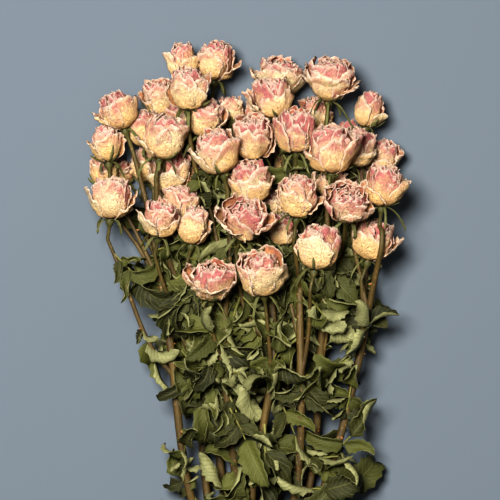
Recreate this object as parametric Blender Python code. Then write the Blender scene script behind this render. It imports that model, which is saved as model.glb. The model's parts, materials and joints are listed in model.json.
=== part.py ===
"""A lying bunch of dried spray roses: ten branched sprays with leaves, their blooms, and the band that ties them.

The bunch lies on a surface at z = 0, with its cut ends towards -Y and its blooms towards +Y.
Lengths are in millimetres and angles in degrees, and add_node turns millimetres to metres.
Directions: x is right, y is up along the stems, z is away from the surface.
"""

import math
import random
from collections import namedtuple

import bmesh
import bpy
import mathutils
import numpy as np

MM = 0.001

# Overall sizes
CUT_END_Y = -362.0
CUT_END_STAGGER = 5.0
TIE_Y = -292.0
TIE_STRAIGHT = 16.0
LOW_Y = -187.0
FORK_Y = -70.0
SEAT_GAP = 0.3
UNION_SOLVER = "EXACT"
FLAT_ANGLE = math.radians(1.0)

# Stems
CANE_RADIUS = 3.1
CANE_TIP_RADIUS = 1.6
BRANCH_RADIUS = 2.0
PEDICEL_RADIUS = 1.3
HIP_RADIUS = 3.0
HIP_LENGTH = 7.0
STEM_PITCH = 2 * CANE_RADIUS + SEAT_GAP
STEM_STEP = 4.0
STEM_SPACE = 2.0
NEAR = 26.0
BEND_STEPS = 160
BEND_STEP = 3.0
BEND_SMOOTH = 0.9
CANE_SIDES = 5
BRANCH_SIDES = 4

# Sepals and leaves
SEPAL_LENGTH = 14.0
SEPAL_SIZES = (1.0, 0.75, 0.5, 0.3)
LEAF_THICKNESS = 0.7
LEAFLET_LENGTH = 34.0
LEAFLET_WIDTH = 23.0
LEAF_FOLD = 0.35
LEAF_CURL = 0.22
PAIR_ANGLE = math.radians(62)
RACHIS_LENGTH = 30.0
RACHIS_WIDTH = 1.8
STEM_TOLERANCE = 1.1

# Blooms: corners round each ring, and the finest wave of the rims over the radius
BLOOM_SIDES = 12
RIM_WAVE = 0.05
RIM_TURN = 2.2
STAND_OFF = 0.44
RIM_REACH = 1.16

# The band: turns of flat rubber round two rows of five stems
BAND_TURNS = 3
BAND_TURN_WIDTH = 3.0
BAND_THICKNESS = 1.8
BAND_GROOVE = 0.6
BAND_CORNER_STEPS = 4

# The dome that the front blooms stand under, and the depth of each layer below it
DOME_TOP_Y = 165.0
DOME_LENGTH = 190.0
DOME_HALF_WIDTH = 135.0
DOME_EDGE_Z = 40.0
DOME_RISE = 44.0
LAYER_DEPTH = 14.0
FLOOR_LAYER = 5
FLOOR_SPOT = 0.7

# How the blooms are moved apart: sideways moves count less than moves in depth
BLOOM_SPACE = 1.0
HIP_BALL = 4.0
NECK_BALL = 3.0
NECK_LENGTH = 12.0
SETTLE_STEPS = 600
SETTLE_WEIGHTS = np.array([0.4, 0.4, 1.0])
HOME_PULL = 0.01
CELL_PASSES = 3

# The forms of bloom: height over radius, number of outer petals, and the rings of the surface, from the foot
# over the belly and the rim of the outer petals, down behind it, and over the rim of the inner ones into the pit.
# Each ring has its radius over the bloom's and its height over the bloom's.
Form = namedtuple("Form", "height petals foot skirt belly rim gap inner pit")
FORMS = {
    "bud": Form(
        2.50, 3, (0.34, 0.0), (0.78, 0.14), (0.98, 0.42),
        (0.78, 0.84), (0.60, 0.68), (0.42, 0.98), (0.20, 0.86),
    ),
    "globe": Form(
        2.20, 3, (0.27, 0.0), (0.80, 0.15), (0.98, 0.42),
        (0.98, 0.82), (0.78, 0.64), (0.62, 0.96), (0.30, 0.80),
    ),
    "open": Form(
        1.90, 4, (0.24, 0.0), (0.68, 0.17), (0.90, 0.42),
        (1.06, 0.78), (0.80, 0.60), (0.66, 0.94), (0.34, 0.74),
    ),
    "withered": Form(
        2.10, 3, (0.28, 0.0), (0.72, 0.15), (0.94, 0.38),
        (0.80, 0.82), (0.62, 0.66), (0.48, 0.97), (0.24, 0.82),
    ),
}

# The blooms: place and radius, layer (0 is in front), lean to the right, tilt to the front, form,
# and the directions in which a petal stands off (0 right, 90 behind, 180 left, 270 in front)
Bloom = namedtuple("Bloom", "number x y radius layer lean tilt form stand_off")
BLOOMS = [
    Bloom(1, -50, 144, 11.0, 2, -6, 8, "bud", (200,)),
    Bloom(2, -27, 144, 13.5, 2, 6, 6, "globe", (350,)),
    Bloom(3, -44, 121, 14.2, 0, 0, 18, "globe", ()),
    Bloom(4, -69, 116, 12.0, 3, -12, 20, "globe", ()),
    Bloom(5, -101, 103, 13.0, 1, -20, 10, "globe", (190,)),
    Bloom(6, -108, 84, 11.5, 1, -6, 4, "bud", (185,)),
    Bloom(7, -112, 62, 10.0, 2, -8, 6, "bud", ()),
    Bloom(8, -104, 39, 14.2, 0, 5, 16, "globe", (185, 350)),
    Bloom(9, -97, 60, 8.5, 4, -10, 0, "withered", ()),
    Bloom(10, -83, 92, 12.0, 3, -22, 8, "globe", ()),
    Bloom(11, -65, 85, 15.0, 0, 10, 14, "globe", (200,)),
    Bloom(12, -53, 103, 11.0, 3, 0, 10, "globe", ()),
    Bloom(13, -36, 100, 13.0, 1, 6, 16, "globe", (10,)),
    Bloom(14, -11, 105, 11.0, 3, 0, 5, "withered", ()),
    Bloom(15, 4, 104, 12.0, 3, 5, 10, "globe", ()),
    Bloom(16, 2, 85, 15.0, 1, 0, 30, "globe", (20, 200)),
    Bloom(17, -23, 74, 15.0, 0, -14, 18, "globe", (200,)),
    Bloom(18, 23, 131, 16.5, 3, 4, 12, "open", (0,)),
    Bloom(19, 17, 115, 14.0, 1, -10, 14, "globe", (180,)),
    Bloom(20, 61, 129, 17.0, 1, 5, 18, "open", (340, 10)),
    Bloom(21, 51, 104, 12.0, 4, 0, 8, "withered", ()),
    Bloom(22, 91, 107, 11.0, 2, 12, 4, "bud", (330,)),
    Bloom(23, 34, 90, 15.0, 1, 0, 24, "globe", (190, 350)),
    Bloom(24, 61, 75, 16.0, 0, 0, 12, "globe", (350, 190)),
    Bloom(25, 82, 78, 13.0, 2, 14, 12, "globe", ()),
    Bloom(26, 101, 71, 12.0, 3, 14, 8, "globe", ()),
    Bloom(27, 100, 47, 14.0, 0, 6, 10, "globe", (340,)),
    Bloom(28, -58, 55, 14.5, 2, 0, 18, "globe", (10,)),
    Bloom(29, -33, 52, 11.0, 4, 0, 8, "withered", ()),
    Bloom(30, -1, 51, 15.0, 1, -5, 16, "globe", (200,)),
    Bloom(31, 36, 40, 14.0, 0, 5, 12, "globe", (10,)),
    Bloom(32, 63, 51, 12.0, 2, 0, 14, "withered", ()),
    Bloom(33, 73, 34, 15.0, 0, 6, 44, "open", (170, 290, 30)),
    Bloom(34, -67, 24, 13.0, 0, 8, 22, "globe", (215,)),
    Bloom(35, -53, 40, 12.0, 2, 8, 14, "globe", ()),
    Bloom(36, -42, 20, 11.5, 1, 10, 12, "bud", ()),
    Bloom(37, -4, 23, 16.0, 0, 14, 36, "open", (190, 225, 350)),
    Bloom(38, 24, 16, 11.0, 3, 0, 12, "withered", ()),
    Bloom(39, 17, 34, 11.0, 3, -10, 12, "globe", ()),
    Bloom(40, 94, 9, 14.0, 1, 16, 6, "globe", (0,)),
    Bloom(41, 51, 2, 15.0, 0, 10, 4, "globe", ()),
    Bloom(42, -28, -23, 16.0, 0, 4, 26, "open", (185,)),
    Bloom(43, 8, -17, 15.5, 0, -8, 24, "globe", (300,)),
    Bloom(44, 82, 55, 9.0, 4, 8, 4, "withered", ()),
    Bloom(45, -78, 66, 13.5, FLOOR_LAYER, -8, -16, "globe", ()),
    Bloom(46, -22, 84, 13.5, FLOOR_LAYER, 0, -18, "globe", ()),
    Bloom(47, 34, 66, 13.5, FLOOR_LAYER, 4, -18, "globe", ()),
    Bloom(48, 74, 84, 13.0, FLOOR_LAYER, 10, -14, "globe", ()),
]

# The sprays: their blooms, with the one at the cane's tip first, the cane's place in the tie (column and row),
# and x and z of the cane at LOW_Y and at FORK_Y
Spray = namedtuple("Spray", "name blooms column row low fork")
SPRAYS = [
    Spray("spray_01", (5, 6, 7, 8, 9), -2, 1, (-47, 32), (-60, 46)),
    Spray("spray_02", (11, 34, 35, 28, 10), -2, 0, (-34, 16), (-42, 32)),
    Spray("spray_03", (3, 1, 2, 4, 12), -1, 0, (-20, 10), (-34, 13)),
    Spray("spray_04", (17, 42, 36, 13, 29), -1, 1, (-9, 36), (-21, 56)),
    Spray("spray_05", (16, 43, 37, 30, 14), 0, 1, (0, 34), (20, 54)),
    Spray("spray_06", (19, 18, 15, 46, 45), 0, 0, (3, 10), (-6, 13)),
    Spray("spray_07", (23, 41, 31, 39, 38), 1, 1, (36, 34), (38, 54)),
    Spray("spray_08", (24, 33, 32, 44), 2, 0, (46, 16), (54, 32)),
    Spray("spray_09", (20, 21, 22, 48, 47), 1, 0, (24, 10), (30, 13)),
    Spray("spray_10", (27, 40, 25, 26), 2, 1, (55, 32), (86, 44)),
]

# Branches that show: the places they pass, by bloom
ROUTES = {
    6: ((-70, -24, 40), (-90, 24, 42)),
    7: ((-70, -20, 34), (-94, 20, 30)),
    9: ((-66, -14, 24), (-82, 22, 14)),
    8: ((-72, -92, 44), (-86, -49, 50), (-97, -11, 56)),
    37: ((-8, -62, 50), (-7, -24, 64)),
    41: ((48, -60, 56),),
    40: ((91, -38, 44),),
}

# Leaves that show: spray, y of the root on the cane, x and y of the tip, rise of the tip, size
Leaf = namedtuple("Leaf", "spray root_y x y rise size")
SHOWN_LEAVES = [
    Leaf(0, -72, -90, -52, 8, 1.15),
    Leaf(0, -112, -80, -86, 6, 1.00),
    Leaf(0, -186, -78, -126, 6, 0.70),
    Leaf(1, -176, -66, -138, 24, 0.90),
    Leaf(0, -226, -70, -176, 6, 0.90),
    Leaf(3, -118, -6, -134, 16, 1.05),
    Leaf(4, -128, 12, -158, 14, 1.20),
    Leaf(4, -96, 20, -52, 16, 1.05),
    Leaf(6, -120, 58, -56, 20, 1.15),
    Leaf(7, -120, 84, -74, 26, 1.15),
    Leaf(9, -128, 76, -106, 10, 0.95),
    Leaf(9, -44, 112, -8, 6, 1.00),
    Leaf(9, -82, 103, -40, 8, 1.00),
    Leaf(8, -70, 76, -34, 40, 0.95),
    Leaf(9, -160, 95, -114, 8, 1.25),
    Leaf(9, -196, 102, -152, 6, 1.10),
    Leaf(3, -78, -30, -46, 14, 0.95),
    Leaf(2, -92, -62, -34, 40, 0.95),
    Leaf(6, -186, 60, -168, 18, 1.00),
    Leaf(3, -204, -22, -172, 14, 1.00),
]

# Leaves that fill the rest: how many each cane gets, between which heights, and the x that they stay within
FILL_LEAVES = 2
FILL_LOW_Y = -228.0
FILL_HIGH_Y = -20.0
FILL_TRIES = 160
ZONE_Y = (-236.0, -187.0, -112.0, -60.0, 0.0, 30.0)
ZONE_LEFT = (-70.0, -68.0, -66.0, -88.0, -80.0, -70.0)
ZONE_RIGHT = (84.0, 102.0, 100.0, 95.0, 112.0, 104.0)
LEAF_BALL = 1.9
OWN_LEAF_SPACE = 0.4
PETAL_BALL = 1.3
SEPAL_BALL = 1.4
FLOOR_CLEAR = 2.0
LEAF_SEED = 31
SHOWN_TRIES = 60

PETAL_COLOUR = (0.78, 0.52, 0.34)
LEAF_COLOUR = (0.10, 0.11, 0.04)
BAND_COLOUR = (0.45, 0.27, 0.12)


def unit(vector):
    return vector / np.linalg.norm(vector)


def bloom_frame(bloom):
    """The bloom's directions for 0, 90 and its axis: right, behind and up for one that stands straight."""
    lean = math.radians(bloom.lean)
    tilt = math.radians(bloom.tilt)
    axis = np.array([math.sin(lean) * math.cos(tilt), math.cos(lean) * math.cos(tilt), math.sin(tilt)])
    right = unit(np.array([1.0, 0.0, 0.0]) - axis * axis[0])
    behind = np.cross(axis, right)
    return right, behind, axis


def home_depth(bloom):
    """z of the bloom before it is moved: its layer below the dome, or the surface that the bunch lies on."""
    if bloom.layer == FLOOR_LAYER:
        return bloom.radius - FLOOR_SPOT
    along = min(max((DOME_TOP_Y - bloom.y) / DOME_LENGTH, 0.0), 1.0)
    across = math.sqrt(max(0.0, 1 - (bloom.x / DOME_HALF_WIDTH) ** 2))
    dome = DOME_EDGE_Z + DOME_RISE * across * math.sqrt(1 - (1 - along) ** 2)
    return max(dome - LAYER_DEPTH * bloom.layer, bloom.radius + FLOOR_CLEAR)


def settle_blooms():
    """Centres of the blooms, moved apart until no bloom meets another, or another's hip or neck."""
    count = len(BLOOMS)
    radii = np.array([bloom.radius for bloom in BLOOMS])
    axes = np.array([bloom_frame(bloom)[2] for bloom in BLOOMS])
    half_heights = np.array([FORMS[bloom.form].height * bloom.radius / 2 for bloom in BLOOMS])
    hip_offsets = -axes * (half_heights + HIP_LENGTH / 2)[:, None]
    neck_offsets = -axes * (half_heights + HIP_LENGTH + NECK_LENGTH / 2)[:, None]
    offsets = np.concatenate([np.zeros((count, 3)), hip_offsets, neck_offsets])
    ball_radii = np.concatenate([radii, np.full(count, HIP_BALL), np.full(count, NECK_BALL)])
    owner = np.tile(np.arange(count), 3)
    needed = ball_radii[:, None] + ball_radii[None, :] + BLOOM_SPACE
    needed[owner[:, None] == owner[None, :]] = 0.0
    on_floor = np.array([bloom.layer == FLOOR_LAYER for bloom in BLOOMS])
    lowest = np.where(on_floor, radii - FLOOR_SPOT, radii + FLOOR_CLEAR)
    home = np.array([(bloom.x, bloom.y, home_depth(bloom)) for bloom in BLOOMS])
    centres = home.copy()
    for step in range(SETTLE_STEPS):
        balls = centres[owner] + offsets
        apart = balls[:, None] - balls[None, :]
        overlap = np.clip(needed - np.linalg.norm(apart, axis=2), 0.0, None)
        push = apart * SETTLE_WEIGHTS
        push /= np.linalg.norm(push, axis=2)[:, :, None] + 1e-9
        move = (push * overlap[:, :, None]).sum(axis=1) * 0.3
        centres += move.reshape(3, count, 3).sum(axis=0)
        if step < SETTLE_STEPS * 3 // 4:
            centres += (home - centres) * HOME_PULL
        centres[:, 2] = np.where(on_floor, lowest, np.maximum(centres[:, 2], lowest))
    return centres


def keep_in_cell(points, index, centres, margin):
    """Moves points of one bloom back from the planes between it and its neighbours, and from the surface."""
    radii = np.array([bloom.radius for bloom in BLOOMS])
    between = centres - centres[index]
    distance = np.linalg.norm(between, axis=1)
    near = (distance > 0) & (distance < 2 * (radii + radii[index]))
    normals = between[near] / distance[near, None]
    planes = (distance[near] ** 2 + radii[index] ** 2 - radii[near] ** 2) / (2 * distance[near])
    points = points.copy()
    for _ in range(CELL_PASSES):
        for normal, plane in zip(normals, planes):
            beyond = np.clip((points - centres[index]) @ normal - (plane - margin), 0.0, None)
            points -= beyond[:, None] * normal
    points[:, 2] = np.maximum(points[:, 2], 0.0)
    return points


def smooth_path(knots, step):
    """Points about one step apart on a smooth curve through the knots."""
    knots = np.array(knots, dtype=float)
    ends = [2 * knots[0] - knots[1], 2 * knots[-1] - knots[-2]]
    padded = np.concatenate([[ends[0]], knots, [ends[1]]])
    points = [knots[0]]
    for index in range(1, len(padded) - 2):
        before, start, end, after = padded[index - 1:index + 3]
        gap = np.linalg.norm(end - start)
        leave = unit(end - before) * gap
        arrive = unit(after - start) * gap
        count = max(2, int(round(gap / step)))
        for part in range(1, count + 1):
            t = part / count
            points.append(
                start * (2 * t ** 3 - 3 * t ** 2 + 1) + leave * (t ** 3 - 2 * t ** 2 + t)
                + end * (3 * t ** 2 - 2 * t ** 3) + arrive * (t ** 3 - t ** 2)
            )
    return np.array(points)


def near_pairs(points, owners, others, other_owners):
    """Indices of the points and of the others' that lie near each other and have different owners."""
    near = ((points[:, None] - others[None, :]) ** 2).sum(axis=2) < NEAR ** 2
    near &= owners[:, None] != other_owners[None, :]
    return np.nonzero(near)


def push_apart(points, reach, others, other_reach):
    """How far each point has to move to clear the other of its pair."""
    apart = points - others
    distance = np.linalg.norm(apart, axis=1) + 1e-9
    overlap = np.clip(reach + other_reach + STEM_SPACE - distance, 0.0, None)
    return apart * (overlap / distance)[:, None]


def bend_clear(stems, sets_of_balls):
    """Bends the stems until they clear each other and the balls.

    A stem is a dictionary with its points, their reach, its spray, its bloom and which points are held.
    Each set of balls has centres, reaches, owners, and which of the stem's values is compared with the owner.
    """
    points = np.concatenate([stem["points"] for stem in stems])
    reach = np.concatenate([stem["reach"] for stem in stems])
    held = np.concatenate([stem["held"] for stem in stems])
    owners = {
        key: np.concatenate([np.full(len(stem["points"]), stem[key]) for stem in stems])
        for key in ("spray", "bloom")
    }
    ends = np.cumsum([len(stem["points"]) for stem in stems])
    inner = np.ones(len(points), dtype=bool)
    inner[ends - 1] = False
    inner[ends[:-1]] = False
    inner[0] = False
    for step in range(BEND_STEPS):
        if step % 12 == 0:
            first, second = near_pairs(points, owners["spray"], points, owners["spray"])
            near_balls = [
                near_pairs(points, owners[key], balls, owner) for balls, _, owner, key in sets_of_balls
            ]
        move = np.zeros_like(points)
        np.add.at(move, first, push_apart(points[first], reach[first], points[second], reach[second]) / 2)
        for (balls, ball_reach, _, _), (own, ball) in zip(sets_of_balls, near_balls):
            np.add.at(move, own, push_apart(points[own], reach[own], balls[ball], ball_reach[ball]))
        if step < BEND_STEPS * 3 // 4:
            middle = np.zeros_like(points)
            middle[1:-1] = (points[:-2] + points[2:]) / 2 - points[1:-1]
            move += middle * inner[:, None] * BEND_SMOOTH
        move[held] = 0.0
        points += np.clip(move * 0.5, -BEND_STEP, BEND_STEP)
        points[:, 2] = np.maximum(points[:, 2], reach + 1.0)
    start = 0
    for stem, end in zip(stems, ends):
        stem["points"] = points[start:end]
        start = end


def cane_reach(points, tip_y):
    """Radius of the cane at each point: full at the cut, thinner above the fork."""
    share = np.clip((points[:, 1] - FORK_Y) / (tip_y - FORK_Y), 0.0, 1.0)
    return CANE_RADIUS + (CANE_TIP_RADIUS - CANE_RADIUS) * share


def lay_out_stems(centres):
    """Canes first, then their side branches, each with its points, reach, spray and bloom."""
    place = {bloom.number: index for index, bloom in enumerate(BLOOMS)}
    axes = [bloom_frame(bloom)[2] for bloom in BLOOMS]
    hips = []
    for index, bloom in enumerate(BLOOMS):
        half_height = FORMS[bloom.form].height * bloom.radius / 2
        hips.append(centres[index] - axes[index] * (half_height + SEAT_GAP + HIP_LENGTH))
    numbers = np.array([bloom.number for bloom in BLOOMS])
    bloom_balls = (
        np.concatenate([centres, np.array(hips) + np.array(axes) * HIP_LENGTH / 2]),
        np.concatenate([[bloom.radius * RIM_REACH for bloom in BLOOMS], np.full(len(BLOOMS), HIP_RADIUS)]),
        np.concatenate([numbers, numbers]),
        "bloom",
    )
    canes = []
    for number, spray in enumerate(SPRAYS):
        tip = place[spray.blooms[0]]
        x = spray.column * STEM_PITCH
        z = BAND_THICKNESS + SEAT_GAP + CANE_RADIUS + spray.row * STEM_PITCH
        cut_y = CUT_END_Y + CUT_END_STAGGER * math.sin(number * 2.4)
        knots = [
            (x * 1.5, cut_y, z * 1.15),
            (x * 1.05, TIE_Y - TIE_STRAIGHT, z),
            (x, TIE_Y - TIE_STRAIGHT / 2, z),
            (x, TIE_Y, z),
            (x, TIE_Y + TIE_STRAIGHT / 2, z),
            (x * 1.05, TIE_Y + TIE_STRAIGHT, z),
            (spray.low[0], LOW_Y, spray.low[1]),
            (spray.fork[0], FORK_Y, spray.fork[1]),
            hips[tip] - axes[tip] * 30,
            hips[tip],
        ]
        points = smooth_path(knots, STEM_STEP)
        held = (points[:, 1] < TIE_Y + TIE_STRAIGHT) | (np.arange(len(points)) > len(points) - 4)
        reach = cane_reach(points, hips[tip][1])
        canes.append({
            "points": points, "reach": reach, "spray": number, "bloom": spray.blooms[0],
            "held": held, "cane": True,
        })
    bend_clear(canes, [bloom_balls])
    branches = []
    for number, spray in enumerate(SPRAYS):
        cane = canes[number]["points"]
        order = sorted(spray.blooms[1:], key=lambda bloom: hips[place[bloom]][1])
        for rank, bloom in enumerate(order):
            index = place[bloom]
            fork_y = min(FORK_Y - 34 + 22 * rank, hips[index][1] - 42)
            root = int(np.argmin(np.abs(cane[:, 1] - fork_y)))
            knots = [cane[root], cane[root + 3]]
            knots += ROUTES.get(bloom, ())
            knots += [hips[index] - axes[index] * 18, hips[index]]
            points = smooth_path(knots, STEM_STEP)
            held = (np.arange(len(points)) < 3) | (np.arange(len(points)) > len(points) - 4)
            reach = np.linspace(BRANCH_RADIUS, PEDICEL_RADIUS, len(points))
            branches.append({
                "points": points, "reach": reach, "spray": number, "bloom": bloom, "held": held, "cane": False,
            })
    cane_balls = (
        np.concatenate([cane["points"] for cane in canes]),
        np.concatenate([cane["reach"] for cane in canes]),
        np.concatenate([np.full(len(cane["points"]), cane["spray"]) for cane in canes]),
        "spray",
    )
    bend_clear(branches, [cane_balls, bloom_balls])
    return canes + branches


def thin_out(points, tolerance):
    """Indices of the points that a line needs to stay within the tolerance of all of them."""
    keep = {0, len(points) - 1}
    spans = [(0, len(points) - 1)]
    while spans:
        first, last = spans.pop()
        if last - first < 2:
            continue
        line = points[last] - points[first]
        share = np.clip((points[first:last + 1] - points[first]) @ line / (line @ line), 0.0, 1.0)
        off = np.linalg.norm(points[first:last + 1] - points[first] - share[:, None] * line, axis=1)
        worst = int(np.argmax(off))
        if off[worst] > tolerance:
            keep.add(first + worst)
            spans += [(first, first + worst), (first + worst, last)]
    return sorted(keep)


def sample_surface(points, triangles):
    """The corners, edge middles and centres of the triangles, as an array of points."""
    corners = points[np.array(triangles)]
    middles = (corners + np.roll(corners, 1, axis=1)) / 2
    centres = corners.mean(axis=1)
    return np.concatenate([points, middles.reshape(-1, 3), centres])


def is_clear(points, reach, balls, ball_reach):
    """Whether no point comes within its own reach of a ball."""
    if len(balls) == 0:
        return True
    distance = np.linalg.norm(points[:, None] - balls[None, :], axis=2)
    return bool((distance - ball_reach[None, :] > reach).all())


def ring_frame(points, start):
    """Directions across a line of points, carried along it without twist."""
    tangents = np.gradient(points, axis=0)
    tangents /= np.linalg.norm(tangents, axis=1)[:, None]
    across = []
    side = start
    for tangent in tangents:
        side = unit(side - tangent * (side @ tangent))
        across.append((side, np.cross(tangent, side)))
    return across


def stem_line(stem):
    """The line of a stem with as few points as it needs, its radii, and its directions across."""
    keep = set(thin_out(stem["points"], STEM_TOLERANCE))
    if stem["cane"]:
        for y in (TIE_Y - TIE_STRAIGHT / 2, TIE_Y + TIE_STRAIGHT / 2):
            keep.add(int(np.argmin(np.abs(stem["points"][:, 1] - y))))
    keep = sorted(keep)
    points = stem["points"][keep]
    start = np.array([0.0, 0.0, -1.0 if SPRAYS[stem["spray"]].row == 0 else 1.0])
    return points, stem["reach"][keep], ring_frame(points, start)


def sepal_directions(stem):
    """Outward directions at a stem's end: one at each corner of its tube, and one between them for a sepal."""
    side, other = stem_line(stem)[2][-1]
    sides = CANE_SIDES if stem["cane"] else BRANCH_SIDES
    turns = [math.tau * part / (2 * sides) for part in range(2 * sides)]
    return [side * math.cos(turn) + other * math.sin(turn) for turn in turns]


def sepal_tip(top, outward, axis, size):
    length = SEPAL_LENGTH * size
    return top + outward * (HIP_RADIUS + length * 0.62) - axis * (1.5 + length * 0.5)


def place_sepals(centres, stems):
    """Adds to each stem the tips of its sepals, as long as they can be beside other blooms and sprays."""
    points = np.concatenate([stem["points"] for stem in stems])
    reach = np.concatenate([stem["reach"] for stem in stems])
    owner = np.concatenate([np.full(len(stem["points"]), stem["spray"]) for stem in stems])
    numbers = [bloom.number for bloom in BLOOMS]
    radii = np.array([bloom.radius * RIM_REACH for bloom in BLOOMS])
    for stem in stems:
        index = numbers.index(stem["bloom"])
        axis = bloom_frame(BLOOMS[index])[2]
        top = stem["points"][-1] + axis * HIP_LENGTH
        others = np.arange(len(BLOOMS)) != index
        balls = np.concatenate([centres[others], points[owner != stem["spray"]]])
        ball_reach = np.concatenate([radii[others], reach[owner != stem["spray"]]])
        tips = []
        for outward in sepal_directions(stem)[1::2]:
            for size in SEPAL_SIZES + (0.0,):
                tip = sepal_tip(top, outward, axis, size)
                line = np.linspace(top, tip, 4)[1:]
                if line[:, 2].min() > FLOOR_CLEAR and is_clear(line, SEPAL_BALL, balls, ball_reach):
                    break
            tips.append(tip)
            points = np.concatenate([points, line])
            reach = np.concatenate([reach, np.full(len(line), SEPAL_BALL)])
            owner = np.concatenate([owner, np.full(len(line), stem["spray"])])
        stem["tips"] = tips


def petal_angles(bloom):
    """Directions of the outer petals in order, and how far each stands off, from 0 to 1."""
    count = FORMS[bloom.form].petals
    first = bloom.stand_off[0] if bloom.stand_off else bloom.number * 47
    angles = [(first + part * 360 / count) % 360 for part in range(count)]
    off = [0.0] * count
    for wanted in bloom.stand_off:
        nearest = min(
            range(count), key=lambda part: (off[part], abs((angles[part] - wanted + 180) % 360 - 180))
        )
        angles[nearest] = wanted % 360
        off[nearest] = 1.0
    order = sorted(range(count), key=lambda part: angles[part])
    return [(angles[part], off[part]) for part in order]


def bloom_rings(index, centres, off):
    """The rings of a bloom's surface, with each outer petal standing off as far as off says."""
    bloom = BLOOMS[index]
    form = FORMS[bloom.form]
    right, behind, axis = bloom_frame(bloom)
    height = form.height * bloom.radius
    base = centres[index] - axis * height / 2
    angles = [angle for angle, _ in petal_angles(bloom)]
    count = len(angles)
    per_petal = BLOOM_SIDES // count
    corners = []
    for part, angle in enumerate(angles):
        before = ((angle - angles[part - 1]) % 360) / 2
        after = ((angles[(part + 1) % count] - angle) % 360) / 2
        for step in range(per_petal):
            across = 2 * (step + 0.5) / per_petal - 1
            turn = angle + across * 0.94 * (after if across > 0 else before)
            corners.append((math.radians(turn), across, off[part]))

    def ring(level, rim_amount, wave, every=1):
        out, up = level
        points = []
        for number, (turn, across, amount) in enumerate(corners[::every]):
            outward = right * math.cos(turn) + behind * math.sin(turn)
            stand = amount * (1 - 0.45 * across ** 2)
            radius = out + rim_amount * (0.05 * across + STAND_OFF * stand) + wave * (-1) ** number
            level_up = up - rim_amount * (0.13 * across ** 2 + 0.22 * stand)
            level_up += wave * math.cos(RIM_TURN * number) * 0.5
            points.append(base + outward * radius * bloom.radius + axis * level_up * height)
        return keep_in_cell(np.array(points), index, centres, SEAT_GAP)

    return [
        ring(form.foot, 0.0, 0.0, every=2), ring(form.skirt, 0.0, 0.0), ring(form.belly, 0.12, 0.0),
        ring(form.rim, 1.0, RIM_WAVE * 0.6), ring(form.gap, 0.1, 0.0), ring(form.inner, 0.0, RIM_WAVE),
        ring(form.pit, 0.0, 0.0, every=2),
    ]


def place_petals(centres, stems):
    """For each bloom, how far each outer petal stands off: as far as there is room beside stems and sepals."""
    points = np.concatenate([stem["points"] for stem in stems] + [np.array(stem["tips"]) for stem in stems])
    reach = [stem["reach"] for stem in stems] + [np.full(len(stem["tips"]), SEPAL_BALL) for stem in stems]
    reach = np.concatenate(reach)
    owner = np.concatenate([
        np.full(len(stem[key]), stem["bloom"]) for key in ("points", "tips") for stem in stems
    ])
    placed = []
    for index, bloom in enumerate(BLOOMS):
        near = np.linalg.norm(points - centres[index], axis=1) < bloom.radius * 2.6
        others = near & (owner != bloom.number)
        off = [amount for _, amount in petal_angles(bloom)]
        per_petal = BLOOM_SIDES // len(off)
        for part in range(len(off)):
            for share in (1.0, 0.8, 0.6, 0.4, 0.2, 0.0):
                trial = off[:part] + [off[part] * share] + off[part + 1:]
                rings = bloom_rings(index, centres, trial)
                span = slice(part * per_petal, (part + 1) * per_petal)
                edge = np.concatenate([rings[3][span], (rings[3][span] + rings[2][span]) / 2])
                edge = np.concatenate([edge, (edge[1:] + edge[:-1]) / 2])
                if is_clear(edge, PETAL_BALL, points[others], reach[others]):
                    break
            off = trial
        placed.append(off)
    return placed


# A leaf's middle surface as one sheet: eight points of the stalk, two abreast, then seven for each leaflet
LEAFLET_FEET = ((6, 7), (2, 4), (5, 3))
STALK_TRIANGLES = tuple(
    triangle for pair in (0, 2, 4) for triangle in ((pair, pair + 1, pair + 3), (pair, pair + 3, pair + 2))
)


def leaflet_triangles(feet, first):
    """Triangles of a leaflet from its two feet on the stalk through rows of three to the tip."""
    left, right = feet
    return (
        (left, first + 1, first), (left, right, first + 1), (right, first + 2, first + 1),
        (first, first + 1, first + 3), (first + 1, first + 4, first + 3),
        (first + 1, first + 2, first + 4), (first + 2, first + 5, first + 4),
        (first + 3, first + 4, first + 6), (first + 4, first + 5, first + 6),
    )


LEAF_TRIANGLES = STALK_TRIANGLES + tuple(
    triangle for part, feet in enumerate(LEAFLET_FEET) for triangle in leaflet_triangles(feet, 8 + 7 * part)
)


def leaflet_points(base, along, normal, length, width, wave):
    """Seven points of a leaflet: folded along its rib, curled down at its tip and waved at its edge."""
    side = np.cross(along, normal)
    points = []
    for share, half, lift in ((0.36, 0.95, wave), (0.74, 0.80, -wave)):
        rib = base + along * length * share - normal * length * LEAF_CURL * share ** 2
        for edge in (-1, 0, 1):
            rise = abs(edge) * (LEAF_FOLD * width * half / 2) + edge * lift
            points.append(rib + side * edge * half * width / 2 + normal * rise)
    points.append(base + along * length - normal * length * LEAF_CURL)
    return points


def leaf_surface(root, along, normal, size, wave):
    """The points of a leaf's middle surface: its stalk, the leaflet at the end and a pair below it."""
    normal = unit(normal - along * (normal @ along))
    side = np.cross(along, normal)
    stalk = RACHIS_LENGTH * size
    length = LEAFLET_LENGTH * size
    width = LEAFLET_WIDTH * size
    points = []
    for share in (0.0, 0.56, 0.64, 1.0):
        middle = root + along * stalk * share - normal * stalk * 0.08 * share ** 2
        points += [middle - side * RACHIS_WIDTH / 2, middle + side * RACHIS_WIDTH / 2]
    end = root + along * stalk * 1.02 - normal * stalk * 0.08
    points += leaflet_points(end, along, normal, length, width, wave)
    joint = root + along * stalk * 0.60 - normal * stalk * 0.03
    for edge in (-1, 1):
        out = along * math.cos(PAIR_ANGLE) + side * edge * math.sin(PAIR_ANGLE)
        points += leaflet_points(joint, out, normal, length * 0.84, width * 0.84, -wave * edge)
    return np.array(points)


def zone_limits(y):
    return np.interp(y, ZONE_Y, ZONE_LEFT), np.interp(y, ZONE_Y, ZONE_RIGHT)


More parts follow.
